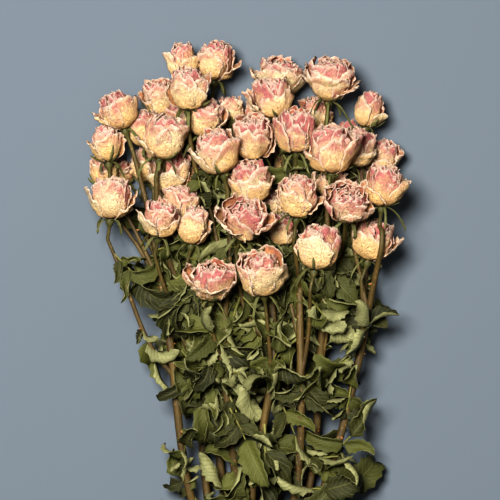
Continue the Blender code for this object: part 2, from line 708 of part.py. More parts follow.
def place_leaves(centres, stems, petals):
    """The leaves, as the number of the spray and a middle surface each, none of which crosses another node."""
    balls = [stem["points"] for stem in stems] + [np.array(stem["tips"]) for stem in stems]
    reach = [stem["reach"] for stem in stems] + [np.full(len(stem["tips"]), SEPAL_BALL) for stem in stems]
    owner = [np.full(len(stem[key]), stem["spray"]) for key in ("points", "tips") for stem in stems]
    balls.append(centres)
    reach.append(np.array([bloom.radius * RIM_REACH for bloom in BLOOMS]))
    owner.append(np.full(len(centres), -1))
    for index, off in enumerate(petals):
        rim = bloom_rings(index, centres, off)[3]
        balls += [rim, (rim + np.roll(rim, 1, axis=0)) / 2]
        reach.append(np.full(2 * len(rim), PETAL_BALL))
        owner.append(np.full(2 * len(rim), -1))
    balls = np.concatenate(balls)
    reach = np.concatenate(reach)
    owner = np.concatenate(owner)
    leaves = []
    canes = [stem["points"] for stem in stems if stem["cane"]]

    def try_leaf(number, root, along, normal, size, wave):
        nonlocal balls, reach, owner
        surface = leaf_surface(root + along * CANE_RADIUS * 0.4, along, normal, size, wave)
        points = sample_surface(surface, LEAF_TRIANGLES)
        left, right = zone_limits(points[:, 1])
        if points[:, 2].min() < FLOOR_CLEAR or (points[:, 0] < left).any() or (points[:, 0] > right).any():
            return False
        near = np.linalg.norm(balls - root, axis=1) < 88 * size
        other = near & (owner != number)
        if not is_clear(points, LEAF_BALL + 0.5, balls[other], reach[other]):
            return False
        own_leaves = near & (owner == number) & (reach == LEAF_BALL)
        away = np.linalg.norm(points - root, axis=1) > 12 * size
        if not is_clear(points[away], OWN_LEAF_SPACE, balls[own_leaves], reach[own_leaves]):
            return False
        leaves.append((number, surface))
        balls = np.concatenate([balls, points])
        reach = np.concatenate([reach, np.full(len(points), LEAF_BALL)])
        owner = np.concatenate([owner, np.full(len(points), number)])
        return True

    for index, leaf in enumerate(SHOWN_LEAVES):
        draw = random.Random(LEAF_SEED + index)
        cane = canes[leaf.spray]
        root = cane[int(np.argmin(np.abs(cane[:, 1] - leaf.root_y)))]
        for attempt in range(SHOWN_TRIES):
            ease = attempt / SHOWN_TRIES
            tip = np.array([leaf.x, leaf.y, root[2] + leaf.rise])
            tip += np.array([draw.uniform(-24, 24), draw.uniform(-24, 24), draw.uniform(-10, 30)]) * ease
            normal = np.array([draw.uniform(-0.5, 0.5), draw.uniform(-0.5, 0.5), 1.0])
            wave = draw.uniform(-2.0, 2.0)
            if try_leaf(leaf.spray, root, unit(tip - root), normal, leaf.size * (1 - 0.3 * ease), wave):
                break
    for number, cane in enumerate(canes):
        draw = random.Random(LEAF_SEED * 2 + number)
        usable = cane[(cane[:, 1] > FILL_LOW_Y) & (cane[:, 1] < FILL_HIGH_Y)]
        grown = 0
        for _ in range(FILL_TRIES):
            if grown == FILL_LEAVES:
                break
            root = usable[draw.randrange(len(usable))]
            swing = math.radians(draw.uniform(-100, 100))
            lift = math.radians(draw.uniform(-20, 50))
            flat = math.cos(lift)
            along = np.array([math.sin(swing) * flat, math.cos(swing) * flat, math.sin(lift)])
            normal = np.array([draw.uniform(-0.8, 0.8), draw.uniform(-0.8, 0.8), draw.uniform(0.3, 1.0)])
            size = draw.uniform(0.8, 1.1)
            if try_leaf(number, root, along, normal, size, draw.uniform(-2.0, 2.0)):
                grown += 1
    return leaves


def close_rings(rings, tip=None):
    """Vertices and triangles of a closed body through rings, where a ring may have twice or half the corners.

    The last ring is closed by a fan of its own corners, or round the tip if one is given.
    """
    points = np.concatenate(rings)
    first_sides = len(rings[0])
    triangles = [(0, corner + 1, corner) for corner in range(1, first_sides - 1)]
    start = 0
    for ring, following in zip(rings, rings[1:]):
        sides = len(ring)
        after = start + sides
        if len(following) == sides:
            for corner in range(sides):
                a = start + corner
                b = start + (corner + 1) % sides
                triangles += [(a, b, b + sides), (a, b + sides, a + sides)]
        elif len(following) == 2 * sides:
            for corner in range(sides):
                a = start + corner
                b = start + (corner + 1) % sides
                low, middle, high = (after + (2 * corner + part) % (2 * sides) for part in range(3))
                triangles += [(a, b, middle), (a, middle, low), (b, high, middle)]
        else:
            for corner in range(len(following)):
                a = after + corner
                b = after + (corner + 1) % len(following)
                low, middle, high = (start + (2 * corner + part) % sides for part in range(3))
                triangles += [(low, middle, a), (middle, high, b), (middle, b, a)]
        start = after
    sides = len(rings[-1])
    if tip is None:
        triangles += [(start, start + corner, start + corner + 1) for corner in range(1, sides - 1)]
    else:
        triangles += [(start + corner, start + (corner + 1) % sides, len(points)) for corner in range(sides)]
        points = np.concatenate([points, [tip]])
    return points, triangles


def shell(points, triangles, thickness):
    """A closed blade: an open surface given its thickness, with the same triangles on both faces."""
    normals = np.zeros_like(points)
    for a, b, c in triangles:
        normal = np.cross(points[b] - points[a], points[c] - points[a])
        for corner in (a, b, c):
            normals[corner] += normal
    normals /= np.linalg.norm(normals, axis=1)[:, None]
    count = len(points)
    solid = np.concatenate([points + normals * thickness / 2, points - normals * thickness / 2])
    faces = list(triangles) + [(a + count, c + count, b + count) for a, b, c in triangles]
    edges = {(a, b) for triangle in triangles for a, b in zip(triangle, triangle[1:] + triangle[:1])}
    for a, b in sorted(edges):
        if (b, a) not in edges:
            faces += [(b, a, a + count), (b, a + count, b + count)]
    return solid, faces


def bloom_body(index, centres, off):
    """A bloom as one closed surface, with the innermost petals as a point in the pit."""
    bloom = BLOOMS[index]
    rings = bloom_rings(index, centres, off)
    axis = bloom_frame(bloom)[2]
    tip = rings[-1].mean(axis=0) + axis * bloom.radius * 0.2
    return close_rings(rings, tip)


def stem_body(stem):
    """A cane or branch as a tube, with the hip and the sepals of its bloom at the end."""
    points, radii, across = stem_line(stem)
    sides = CANE_SIDES if stem["cane"] else BRANCH_SIDES
    rings = []
    for centre, radius, (side, other) in zip(points, radii, across):
        turns = [math.tau * corner / sides for corner in range(sides)]
        spokes = [side * math.cos(turn) + other * math.sin(turn) for turn in turns]
        rings.append(np.array([centre + spoke * radius for spoke in spokes]))
    axis = bloom_frame(next(bloom for bloom in BLOOMS if bloom.number == stem["bloom"]))[2]
    directions = sepal_directions(stem)
    end = points[-1]
    hip_middle = end + axis * HIP_LENGTH * 0.45
    rings.append(np.array([hip_middle + outward * HIP_RADIUS for outward in directions[::2]]))
    star = [end + axis * HIP_LENGTH * 0.8 + outward * HIP_RADIUS for outward in directions]
    star[1::2] = stem["tips"]
    rings.append(np.array(star))
    rings.append(np.array([end + axis * HIP_LENGTH + outward * HIP_RADIUS * 0.8 for outward in directions]))
    return close_rings(rings)


def band_body():
    """Turns of flat rubber round the stems, one body with a groove between turns, flat underneath."""
    corner = CANE_RADIUS + SEAT_GAP
    half_x = 2 * STEM_PITCH
    low_z = BAND_THICKNESS + corner
    high_z = low_z + STEM_PITCH
    centres = ((half_x, low_z, -90), (half_x, high_z, 0), (-half_x, high_z, 90), (-half_x, low_z, 180))
    width = BAND_TURNS * BAND_TURN_WIDTH + (BAND_TURNS - 1) * BAND_GROOVE
    profile = [(-width / 2, 0.0)]
    for turn in range(BAND_TURNS):
        start = -width / 2 + turn * (BAND_TURN_WIDTH + BAND_GROOVE)
        profile += [(start, BAND_THICKNESS), (start + BAND_TURN_WIDTH, BAND_THICKNESS)]
        if turn < BAND_TURNS - 1:
            profile.append((start + BAND_TURN_WIDTH + BAND_GROOVE / 2, BAND_THICKNESS / 2))
    profile.append((width / 2, 0.0))
    stations = []
    for x, z, start in centres:
        for part in range(BAND_CORNER_STEPS):
            turn = math.radians(start + 90 * part / (BAND_CORNER_STEPS - 1))
            stations.append(np.array([
                (x + (corner + out) * math.cos(turn), TIE_Y + along, z + (corner + out) * math.sin(turn))
                for along, out in profile
            ]))
    sides = len(profile)
    points = np.concatenate(stations)
    triangles = []
    for station in range(len(stations)):
        after = (station + 1) % len(stations)
        for side in range(sides):
            a = station * sides + side
            b = station * sides + (side + 1) % sides
            c = after * sides + (side + 1) % sides
            d = after * sides + side
            triangles += [(a, b, c), (a, c, d)]
    return points, triangles


def new_mesh(name, body):
    """A mesh in metres, with its faces pointing out, from a body's points in millimetres and its triangles."""
    points, triangles = body
    corners = points[np.array(triangles)]
    volume = np.einsum("ij,ij->i", corners[:, 0], np.cross(corners[:, 1], corners[:, 2])).sum()
    if volume < 0:
        triangles = [triangle[::-1] for triangle in triangles]
    mesh = bpy.data.meshes.new(name)
    mesh.from_pydata([tuple(point * MM) for point in points], [], triangles)
    return mesh


def new_material(name, colour, roughness):
    material = bpy.data.materials.new(name)
    material.use_nodes = True
    shader = material.node_tree.nodes["Principled BSDF"]
    shader.inputs["Base Color"].default_value = (*colour, 1.0)
    shader.inputs["Roughness"].default_value = roughness
    shader.inputs["Metallic"].default_value = 0.0
    return material


def largest_body(mesh):
    """Drops every loose scrap and sealed hollow of the mesh, so that its largest closed body is left."""
    work = bmesh.new()
    work.from_mesh(mesh)
    bmesh.ops.triangulate(work, faces=work.faces)
    left = set(work.faces)
    bodies = []
    while left:
        seed = left.pop()
        body = {seed}
        edge_of_body = [seed]
        while edge_of_body:
            face = edge_of_body.pop()
            for edge in face.edges:
                for neighbour in edge.link_faces:
                    if neighbour in left:
                        left.discard(neighbour)
                        body.add(neighbour)
                        edge_of_body.append(neighbour)
        bodies.append(body)
    bodies.sort(key=lambda body: sum(face.calc_area() for face in body))
    loose = [face for body in bodies[:-1] for face in body]
    bmesh.ops.delete(work, geom=loose, context="FACES")
    bmesh.ops.dissolve_limit(work, angle_limit=FLAT_ANGLE, verts=work.verts, edges=work.edges)
    bmesh.ops.triangulate(work, faces=work.faces)
    work.to_mesh(mesh)
    work.free()


def add_node(name, bodies, material):
    """One object for a node: the bodies fused by one Boolean union with a collection of them."""
    node = bpy.data.objects.new(name, new_mesh(name, bodies[0]))
    bpy.context.scene.collection.objects.link(node)
    if len(bodies) > 1:
        parts = bpy.data.collections.new(name + "_parts")
        bpy.context.scene.collection.children.link(parts)
        for number, body in enumerate(bodies[1:]):
            piece_name = f"{name}_part_{number}"
            parts.objects.link(bpy.data.objects.new(piece_name, new_mesh(piece_name, body)))
        union = node.modifiers.new("union", "BOOLEAN")
        union.operation = "UNION"
        union.operand_type = "COLLECTION"
        union.collection = parts
        union.solver = UNION_SOLVER
        depsgraph = bpy.context.evaluated_depsgraph_get()
        fused = bpy.data.meshes.new_from_object(node.evaluated_get(depsgraph))
        node.modifiers.clear()
        node.data = fused
        for piece in list(parts.objects):
            bpy.data.objects.remove(piece)
        bpy.data.collections.remove(parts)
        largest_body(fused)
    node.data.name = name
    node.data.materials.clear()
    node.data.materials.append(material)
    return node


def build():
    for thing in list(bpy.data.objects):
        bpy.data.objects.remove(thing)
    centres = settle_blooms()
    stems = lay_out_stems(centres)
    place_sepals(centres, stems)
    petals = place_petals(centres, stems)
    leaves = place_leaves(centres, stems, petals)
    petal_material = new_material("dried_rose_petal", PETAL_COLOUR, 0.8)
    spray_material = new_material("dried_stem_and_leaf", LEAF_COLOUR, 0.85)
    band_material = new_material("tan_rubber", BAND_COLOUR, 0.6)
    nodes = []
    for index, bloom in enumerate(BLOOMS):
        body = bloom_body(index, centres, petals[index])
        nodes.append(add_node(f"bloom_{bloom.number:02d}", [body], petal_material))
    for number, spray in enumerate(SPRAYS):
        bodies = [stem_body(stem) for stem in stems if stem["spray"] == number]
        surfaces = [surface for owner, surface in leaves if owner == number]
        bodies += [shell(surface, LEAF_TRIANGLES, LEAF_THICKNESS) for surface in surfaces]
        nodes.append(add_node(spray.name, bodies, spray_material))
    nodes.append(add_node("band", [band_body()], band_material))
    corners = np.array([vertex.co for node in nodes for vertex in node.data.vertices])
    low = corners.min(axis=0)
    high = corners.max(axis=0)
    middle = (low + high) / 2
    for node in nodes:
        node.data.transform(mathutils.Matrix.Translation((-middle[0], -middle[1], 0.0)))


build()
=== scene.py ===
import json
import math
import random
from collections import namedtuple
from functools import partial

import bpy
import mathutils
import numpy as np
from numpy import concatenate as join
from numpy.linalg import norm
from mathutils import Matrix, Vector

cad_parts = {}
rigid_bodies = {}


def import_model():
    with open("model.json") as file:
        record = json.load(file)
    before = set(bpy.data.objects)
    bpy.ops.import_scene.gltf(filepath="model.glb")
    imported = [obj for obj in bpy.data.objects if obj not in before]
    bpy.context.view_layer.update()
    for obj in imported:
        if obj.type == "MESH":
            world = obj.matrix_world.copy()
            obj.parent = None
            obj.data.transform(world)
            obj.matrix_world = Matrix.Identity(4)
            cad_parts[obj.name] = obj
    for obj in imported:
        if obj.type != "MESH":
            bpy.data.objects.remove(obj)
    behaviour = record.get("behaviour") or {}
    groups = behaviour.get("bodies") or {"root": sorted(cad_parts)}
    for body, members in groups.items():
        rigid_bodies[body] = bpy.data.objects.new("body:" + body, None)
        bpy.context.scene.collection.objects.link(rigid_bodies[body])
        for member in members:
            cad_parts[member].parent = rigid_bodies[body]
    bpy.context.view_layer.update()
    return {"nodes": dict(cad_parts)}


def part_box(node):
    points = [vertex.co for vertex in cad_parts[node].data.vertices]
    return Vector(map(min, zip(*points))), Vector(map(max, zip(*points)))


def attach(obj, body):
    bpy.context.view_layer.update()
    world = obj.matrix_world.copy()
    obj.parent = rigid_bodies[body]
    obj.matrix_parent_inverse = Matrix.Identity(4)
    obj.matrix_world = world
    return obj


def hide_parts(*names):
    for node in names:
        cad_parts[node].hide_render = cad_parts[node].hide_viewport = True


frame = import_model()
print("frame loaded,", len(frame["nodes"]), "nodes")

# A lying bunch of dried spray roses. Layout in millimetres: x right, y up the stems, z away from the floor,
# then shifted into the frame, whose origin is under the middle of the bunch.
mm = 0.001

# Stems, from the cut ends over the tie and the fork to the hips
cutEndY = -362
cutEndStagger = 5
tieY = -292
tieStraight = 16
lowY = -187
forkY = -70
seatGap = 0.3
bandThickness = 1.8
caneRadius = 3.1
caneTipRadius = 1.6
branchRadius = 2.0
pedicelRadius = 1.3
hipRadius = 3.0
hipLength = 7.0
stemPitch = 2 * caneRadius + seatGap
stemStep = 4.0
stemSpace = 2.0
nearEnough = 26.0
bendSteps = 160
bendStep = 3.0
bendSmooth = 0.9
stemTolerance = 1.1
caneSides = 5
branchSides = 4

# Sepals and leaves
sepalLength = 14.0
sepalSizes = (1.0, 0.75, 0.5, 0.3, 0.0)
leafletLength = 34.0
leafletWidth = 23.0
leafFold = 0.35
leafCurl = 0.22
pairAngle = math.radians(62)
stalkLength = 30.0
stalkWidth = 1.8
stalkBend = 0.08

# Blooms: corners round the rim, its finest wave over the radius, and how far a petal stands off
bloomSides = 12
rimWave = 0.03
rimTurn = 2.2
standOff = 0.44
rimReach = 1.16

# The dome that the front blooms stand under, and the depth of each layer below it
domeTopY = 165.0
domeLength = 190.0
domeHalfWidth = 135.0
domeEdgeZ = 40.0
domeRise = 44.0
layerDepth = 14.0
floorLayer = 5
floorSpot = 0.7

# How the blooms are moved apart: sideways moves count less than moves in depth
bloomSpace = 1.0
hipBall = 4.0
neckBall = 3.0
neckLength = 12.0
settleSteps = 600
settleWeights = np.array([0.4, 0.4, 1.0])
homePull = 0.01
cellPasses = 3

# The forms of bloom: height over radius, number of outer petals, and the levels of its petals, from the foot over
# the belly and the rim of the outer ones to the gap, rim and pit of the inner ones. Each has its radius over the
# bloom's and its height over the bloom's.
formRow = namedtuple("formRow", "height petals foot skirt belly rim gap inner pit")
forms = {
    "bud": formRow(
        2.50, 3, (0.34, 0), (0.78, 0.14), (0.98, 0.42), (0.78, 0.84), (0.60, 0.68), (0.42, 0.98), (0.20, 0.86)),
    "globe": formRow(
        2.20, 3, (0.27, 0), (0.80, 0.15), (0.98, 0.42), (0.98, 0.82), (0.78, 0.64), (0.62, 0.96), (0.30, 0.80)),
    "open": formRow(
        1.90, 4, (0.24, 0), (0.68, 0.17), (0.90, 0.42), (1.06, 0.78), (0.80, 0.60), (0.66, 0.94), (0.34, 0.74)),
    "withered": formRow(
        2.10, 3, (0.28, 0), (0.72, 0.15), (0.94, 0.38), (0.80, 0.82), (0.62, 0.66), (0.48, 0.97), (0.24, 0.82)),
}

# The blooms: place and radius, layer (0 is in front), lean to the right, tilt to the front, form, and then the
# directions in which a petal stands off (0 right, 90 behind, 180 left, 270 in front)
bloomRow = namedtuple("bloomRow", "number x y radius layer lean tilt form standOff")
blooms = [bloomRow(number, *row[:7], row[7:]) for number, row in enumerate((
    (-50, 144, 11, 2, -6, 8, "bud", 200), (-27, 144, 13.5, 2, 6, 6, "globe", 350),
    (-44, 121, 14.2, 0, 0, 18, "globe"), (-69, 116, 12, 3, -12, 20, "globe"),
    (-101, 103, 13, 1, -20, 10, "globe", 190), (-108, 84, 11.5, 1, -6, 4, "bud", 185),
    (-112, 62, 10, 2, -8, 6, "bud"), (-104, 39, 14.2, 0, 5, 16, "globe", 185, 350),
    (-97, 60, 8.5, 4, -10, 0, "withered"), (-83, 92, 12, 3, -22, 8, "globe"),
    (-65, 85, 15, 0, 10, 14, "globe", 200), (-53, 103, 11, 3, 0, 10, "globe"),
    (-36, 100, 13, 1, 6, 16, "globe", 10), (-11, 105, 11, 3, 0, 5, "withered"), (4, 104, 12, 3, 5, 10, "globe"),
    (2, 85, 15, 1, 0, 30, "globe", 20, 200), (-23, 74, 15, 0, -14, 18, "globe", 200),
    (23, 131, 16.5, 3, 4, 12, "open", 0), (17, 115, 14, 1, -10, 14, "globe", 180),
    (61, 129, 17, 1, 5, 18, "open", 340, 10), (51, 104, 12, 4, 0, 8, "withered"),
    (91, 107, 11, 2, 12, 4, "bud", 330), (34, 90, 15, 1, 0, 24, "globe", 190, 350),
    (61, 75, 16, 0, 0, 12, "globe", 350, 190), (82, 78, 13, 2, 14, 12, "globe"), (101, 71, 12, 3, 14, 8, "globe"),
    (100, 47, 14, 0, 6, 10, "globe", 340), (-58, 55, 14.5, 2, 0, 18, "globe", 10),
    (-33, 52, 11, 4, 0, 8, "withered"), (-1, 51, 15, 1, -5, 16, "globe", 200), (36, 40, 14, 0, 5, 12, "globe", 10),
    (63, 51, 12, 2, 0, 14, "withered"), (73, 34, 15, 0, 6, 44, "open", 170, 290, 30),
    (-67, 24, 13, 0, 8, 22, "globe", 215), (-53, 40, 12, 2, 8, 14, "globe"), (-42, 20, 11.5, 1, 10, 12, "bud"),
    (-4, 23, 16, 0, 14, 36, "open", 190, 225, 350), (24, 16, 11, 3, 0, 12, "withered"),
    (17, 34, 11, 3, -10, 12, "globe"), (94, 9, 14, 1, 16, 6, "globe", 0), (51, 2, 15, 0, 10, 4, "globe"),
    (-28, -23, 16, 0, 4, 26, "open", 185), (8, -17, 15.5, 0, -8, 24, "globe", 300),
    (82, 55, 9, 4, 8, 4, "withered"), (-78, 66, 13.5, floorLayer, -8, -16, "globe"),
    (-22, 84, 13.5, floorLayer, 0, -18, "globe"), (34, 66, 13.5, floorLayer, 4, -18, "globe"),
    (74, 84, 13, floorLayer, 10, -14, "globe"),
), 1)]

# The sprays: their blooms, with the one at the cane's tip first, the cane's place in the tie (column and row),
# and x and z of the cane at lowY and at forkY
sprayRow = namedtuple("sprayRow", "name blooms column row low fork")
sprays = [sprayRow("spray_%02d" % number, *row) for number, row in enumerate((
    ((5, 6, 7, 8, 9), -2, 1, (-47, 32), (-60, 46)),
    ((11, 34, 35, 28, 10), -2, 0, (-34, 16), (-42, 32)),
    ((3, 1, 2, 4, 12), -1, 0, (-20, 10), (-34, 13)),
    ((17, 42, 36, 13, 29), -1, 1, (-9, 36), (-21, 56)),
    ((16, 43, 37, 30, 14), 0, 1, (0, 34), (20, 54)),
    ((19, 18, 15, 46, 45), 0, 0, (3, 10), (-6, 13)),
    ((23, 41, 31, 39, 38), 1, 1, (36, 34), (38, 54)),
    ((24, 33, 32, 44), 2, 0, (46, 16), (54, 32)),
    ((20, 21, 22, 48, 47), 1, 0, (24, 10), (30, 13)),
    ((27, 40, 25, 26), 2, 1, (55, 32), (86, 44)),
), 1)]

# Branches that show: the places they pass, by bloom
routes = {
    6: ((-70, -24, 40), (-90, 24, 42)),
    7: ((-70, -20, 34), (-94, 20, 30)),
    9: ((-66, -14, 24), (-82, 22, 14)),
    8: ((-72, -92, 44), (-86, -49, 50), (-97, -11, 56)),
    37: ((-8, -62, 50), (-7, -24, 64)),
    41: ((48, -60, 56),),
    40: ((91, -38, 44),),
}

# Leaves that show: spray, y of the root on the cane, x and y of the tip, rise of the tip, size
shownLeaves = (
    (0, -72, -90, -52, 8, 1.15), (0, -112, -80, -86, 6, 1), (0, -186, -78, -126, 6, 0.70),
    (1, -176, -66, -138, 24, 0.90), (0, -226, -70, -176, 6, 0.90), (3, -118, -6, -134, 16, 1.05),
    (4, -128, 12, -158, 14, 1.20), (4, -96, 20, -52, 16, 1.05), (6, -120, 58, -56, 20, 1.15),
    (7, -120, 84, -74, 26, 1.15), (9, -128, 76, -106, 10, 0.95), (9, -44, 112, -8, 6, 1), (9, -82, 103, -40, 8, 1),
    (8, -70, 76, -34, 40, 0.95), (9, -160, 95, -114, 8, 1.25), (9, -196, 102, -152, 6, 1.10),
    (3, -78, -30, -46, 14, 0.95), (2, -92, -62, -34, 40, 0.95), (6, -186, 60, -168, 18, 1),
    (3, -204, -22, -172, 14, 1),
)

# Leaves that fill the rest: how many each cane gets, between which heights, and the x that they stay within
fillLeaves = 2
fillLowY = -228
fillHighY = -20
fillTries = 160
zoneY = (-236, -187, -112, -60, 0, 30)
zoneLeft = (-70, -68, -66, -88, -80, -70)
zoneRight = (84, 102, 100, 95, 112, 104)
leafBall = 1.9
leafSpace = 0.5
ownLeafSpace = 0.4
petalBall = 1.3
sepalBall = 1.4
floorClear = 2.0
leafSeed = 31
shownTries = 60


def unit(vector):
    return vector / norm(vector)


def bloomFrame(bloom):
    # the bloom's directions for 0, 90 and its axis: right, behind and up for one that stands straight
    lean, tilt = math.radians(bloom.lean), math.radians(bloom.tilt)
    axis = np.array([math.sin(lean) * math.cos(tilt), math.cos(lean) * math.cos(tilt), math.sin(tilt)])
    right = unit(np.array([1.0, 0.0, 0.0]) - axis * axis[0])
    return right, np.cross(axis, right), axis


radii = np.array([float(bloom.radius) for bloom in blooms])
heights = np.array([forms[bloom.form].height * bloom.radius for bloom in blooms])
axes = np.array([bloomFrame(bloom)[2] for bloom in blooms])


def homeDepth(bloom):
    # z of the bloom before it is moved: its layer below the dome, or the surface that the bunch lies on
    if bloom.layer == floorLayer:
        return bloom.radius - floorSpot
    along = min(max((domeTopY - bloom.y) / domeLength, 0.0), 1.0)
    across = math.sqrt(max(0.0, 1 - (bloom.x / domeHalfWidth) ** 2))
    dome = domeEdgeZ + domeRise * across * math.sqrt(1 - (1 - along) ** 2)
    return max(dome - layerDepth * bloom.layer, bloom.radius + floorClear)


def settleBlooms():
    # centres of the blooms, moved apart until no bloom meets another, or another's hip or neck
    count = len(blooms)
    offsets = join([np.zeros((count, 3)), -axes * (heights / 2 + hipLength / 2)[:, None],
                    -axes * (heights / 2 + hipLength + neckLength / 2)[:, None]])
    ballRadii = join([radii, np.full(count, hipBall), np.full(count, neckBall)])
    owner = np.tile(np.arange(count), 3)
    needed = ballRadii[:, None] + ballRadii[None, :] + bloomSpace
    needed[owner[:, None] == owner[None, :]] = 0.0
    onFloor = np.array([bloom.layer == floorLayer for bloom in blooms])
    lowest = np.where(onFloor, radii - floorSpot, radii + floorClear)
    home = np.array([(bloom.x, bloom.y, homeDepth(bloom)) for bloom in blooms])
    settled = home.copy()
    for step in range(settleSteps):
        balls = settled[owner] + offsets
        apart = balls[:, None] - balls[None, :]
        overlap = np.clip(needed - norm(apart, axis=2), 0.0, None)
        push = apart * settleWeights
        push /= norm(push, axis=2)[:, :, None] + 1e-9
        move = (push * overlap[:, :, None]).sum(axis=1) * 0.3
        settled += move.reshape(3, count, 3).sum(axis=0)
        if step < settleSteps * 3 // 4:
            settled += (home - settled) * homePull
        settled[:, 2] = np.where(onFloor, lowest, np.maximum(settled[:, 2], lowest))
    return settled


centres = settleBlooms()


def keepInCell(points, index, margin):
    # moves points of one bloom back from the planes between it and its neighbours, and from the surface
    between = centres - centres[index]
    distance = norm(between, axis=1)
    near = (distance > 0) & (distance < 2 * (radii + radii[index]))
    normals = between[near] / distance[near, None]
    planes = (distance[near] ** 2 + radii[index] ** 2 - radii[near] ** 2) / (2 * distance[near])
    points = points.copy()
    for _ in range(cellPasses):
        for normal, plane in zip(normals, planes):
            beyond = np.clip((points - centres[index]) @ normal - (plane - margin), 0.0, None)
            points -= beyond[:, None] * normal
    points[:, 2] = np.maximum(points[:, 2], 0.0)
    return points


def smoothPath(knots, step):
    # points about one step apart on a smooth curve through the knots
    knots = np.array(knots, dtype=float)
    padded = join([[2 * knots[0] - knots[1]], knots, [2 * knots[-1] - knots[-2]]])
    points = [knots[0]]
    for before, start, end, after in zip(padded, padded[1:], padded[2:], padded[3:]):
        gap = norm(end - start)
        leave, arrive = unit(end - before) * gap, unit(after - start) * gap
        count = max(2, int(round(gap / step)))
        for part in range(1, count + 1):
            t = part / count
            points.append(start * (2 * t ** 3 - 3 * t ** 2 + 1) + leave * (t ** 3 - 2 * t ** 2 + t)
                          + end * (3 * t ** 2 - 2 * t ** 3) + arrive * (t ** 3 - t ** 2))
    return np.array(points)


def gather(parts, key, label=None):
    # what all parts hold under a key in one array, or their labels, once for each of these
    return join([part[key] if label is None else np.full(len(part[key]), part[label]) for part in parts])


def nearPairs(points, owners, others, otherOwners):
    # indices of the points and of the others that lie near each other and have different owners
    near = ((points[:, None] - others[None, :]) ** 2).sum(axis=2) < nearEnough ** 2
    return np.nonzero(near & (owners[:, None] != otherOwners[None, :]))


def pushApart(points, reach, others, otherReach):
    # how far each point has to move to clear the other of its pair
    apart = points - others
    distance = norm(apart, axis=1) + 1e-9
    overlap = np.clip(reach + otherReach + stemSpace - distance, 0.0, None)
    return apart * (overlap / distance)[:, None]


def bendClear(stems, setsOfBalls):
    # bends the stems until they clear each other and the balls; a set of balls has centres, reaches, owners,
    # and which value of a stem is compared with the owner
    points, reach, held = gather(stems, "points"), gather(stems, "reach"), gather(stems, "held")
    owners = {key: gather(stems, "points", key) for key in ("spray", "bloom")}
    ends = np.cumsum([len(stem["points"]) for stem in stems])
    inner = np.ones((len(points), 1))
    inner[join([[0], ends - 1, ends[:-1]])] = 0
    for step in range(bendSteps):
        if step % 12 == 0:
            first, second = nearPairs(points, owners["spray"], points, owners["spray"])
            nearBalls = [nearPairs(points, owners[key], balls, owner) for balls, _, owner, key in setsOfBalls]
        move = np.zeros_like(points)
        np.add.at(move, first, pushApart(points[first], reach[first], points[second], reach[second]) / 2)
        for (balls, ballReach, _, _), (own, ball) in zip(setsOfBalls, nearBalls):
            np.add.at(move, own, pushApart(points[own], reach[own], balls[ball], ballReach[ball]))
        if step < bendSteps * 3 // 4:
            middle = np.zeros_like(points)
            middle[1:-1] = (points[:-2] + points[2:]) / 2 - points[1:-1]
            move += middle * inner * bendSmooth
        move[held] = 0.0
        points += np.clip(move * 0.5, -bendStep, bendStep)
        points[:, 2] = np.maximum(points[:, 2], reach + 1.0)
    for stem, part in zip(stems, np.split(points, ends[:-1])):
        stem["points"] = part


def layOutStems():
    # canes first, then their side branches, each with its points, reach, spray and bloom
    hips = centres - axes * (heights / 2 + seatGap + hipLength)[:, None]
    numbers = np.array([bloom.number for bloom in blooms])
    bloomBalls = (join([centres, hips + axes * hipLength / 2]),
                  join([radii * rimReach, np.full(len(blooms), hipRadius)]), join([numbers, numbers]), "bloom")
    canes, branches = [], []
    for number, spray in enumerate(sprays):
        tip = spray.blooms[0] - 1
        x = spray.column * stemPitch
        z = bandThickness + seatGap + caneRadius + spray.row * stemPitch
        knots = [(x * 1.5, cutEndY + cutEndStagger * math.sin(number * 2.4), z * 1.15)]
        knots += [(x * wide, tieY + tieStraight * part, z)
                  for wide, part in ((1.05, -1), (1, -0.5), (1, 0), (1, 0.5), (1.05, 1))]
        knots += [(spray.low[0], lowY, spray.low[1]), (spray.fork[0], forkY, spray.fork[1]),
                  hips[tip] - axes[tip] * 30, hips[tip]]
        points = smoothPath(knots, stemStep)
        # full thickness at the cut, thinner above the fork
        share = np.clip((points[:, 1] - forkY) / (hips[tip][1] - forkY), 0.0, 1.0)
        canes.append({
            "points": points, "reach": caneRadius + (caneTipRadius - caneRadius) * share,
            "held": (points[:, 1] < tieY + tieStraight) | (np.arange(len(points)) > len(points) - 4),
            "spray": number, "bloom": spray.blooms[0], "cane": True,
        })
    bendClear(canes, [bloomBalls])
    for number, spray in enumerate(sprays):
        cane = canes[number]["points"]
        for rank, bloom in enumerate(sorted(spray.blooms[1:], key=lambda bloom: hips[bloom - 1][1])):
            hip, axis = hips[bloom - 1], axes[bloom - 1]
            root = int(np.argmin(np.abs(cane[:, 1] - min(forkY - 34 + 22 * rank, hip[1] - 42))))
            points = smoothPath([cane[root], cane[root + 3], *routes.get(bloom, ()), hip - axis * 18, hip], stemStep)
            branches.append({
                "points": points, "reach": np.linspace(branchRadius, pedicelRadius, len(points)),
                "held": (np.arange(len(points)) < 3) | (np.arange(len(points)) > len(points) - 4),
                "spray": number, "bloom": bloom, "cane": False,
            })
    caneBalls = (gather(canes, "points"), gather(canes, "reach"), gather(canes, "points", "spray"), "spray")
    bendClear(branches, [caneBalls, bloomBalls])
    return canes + branches


stems = layOutStems()


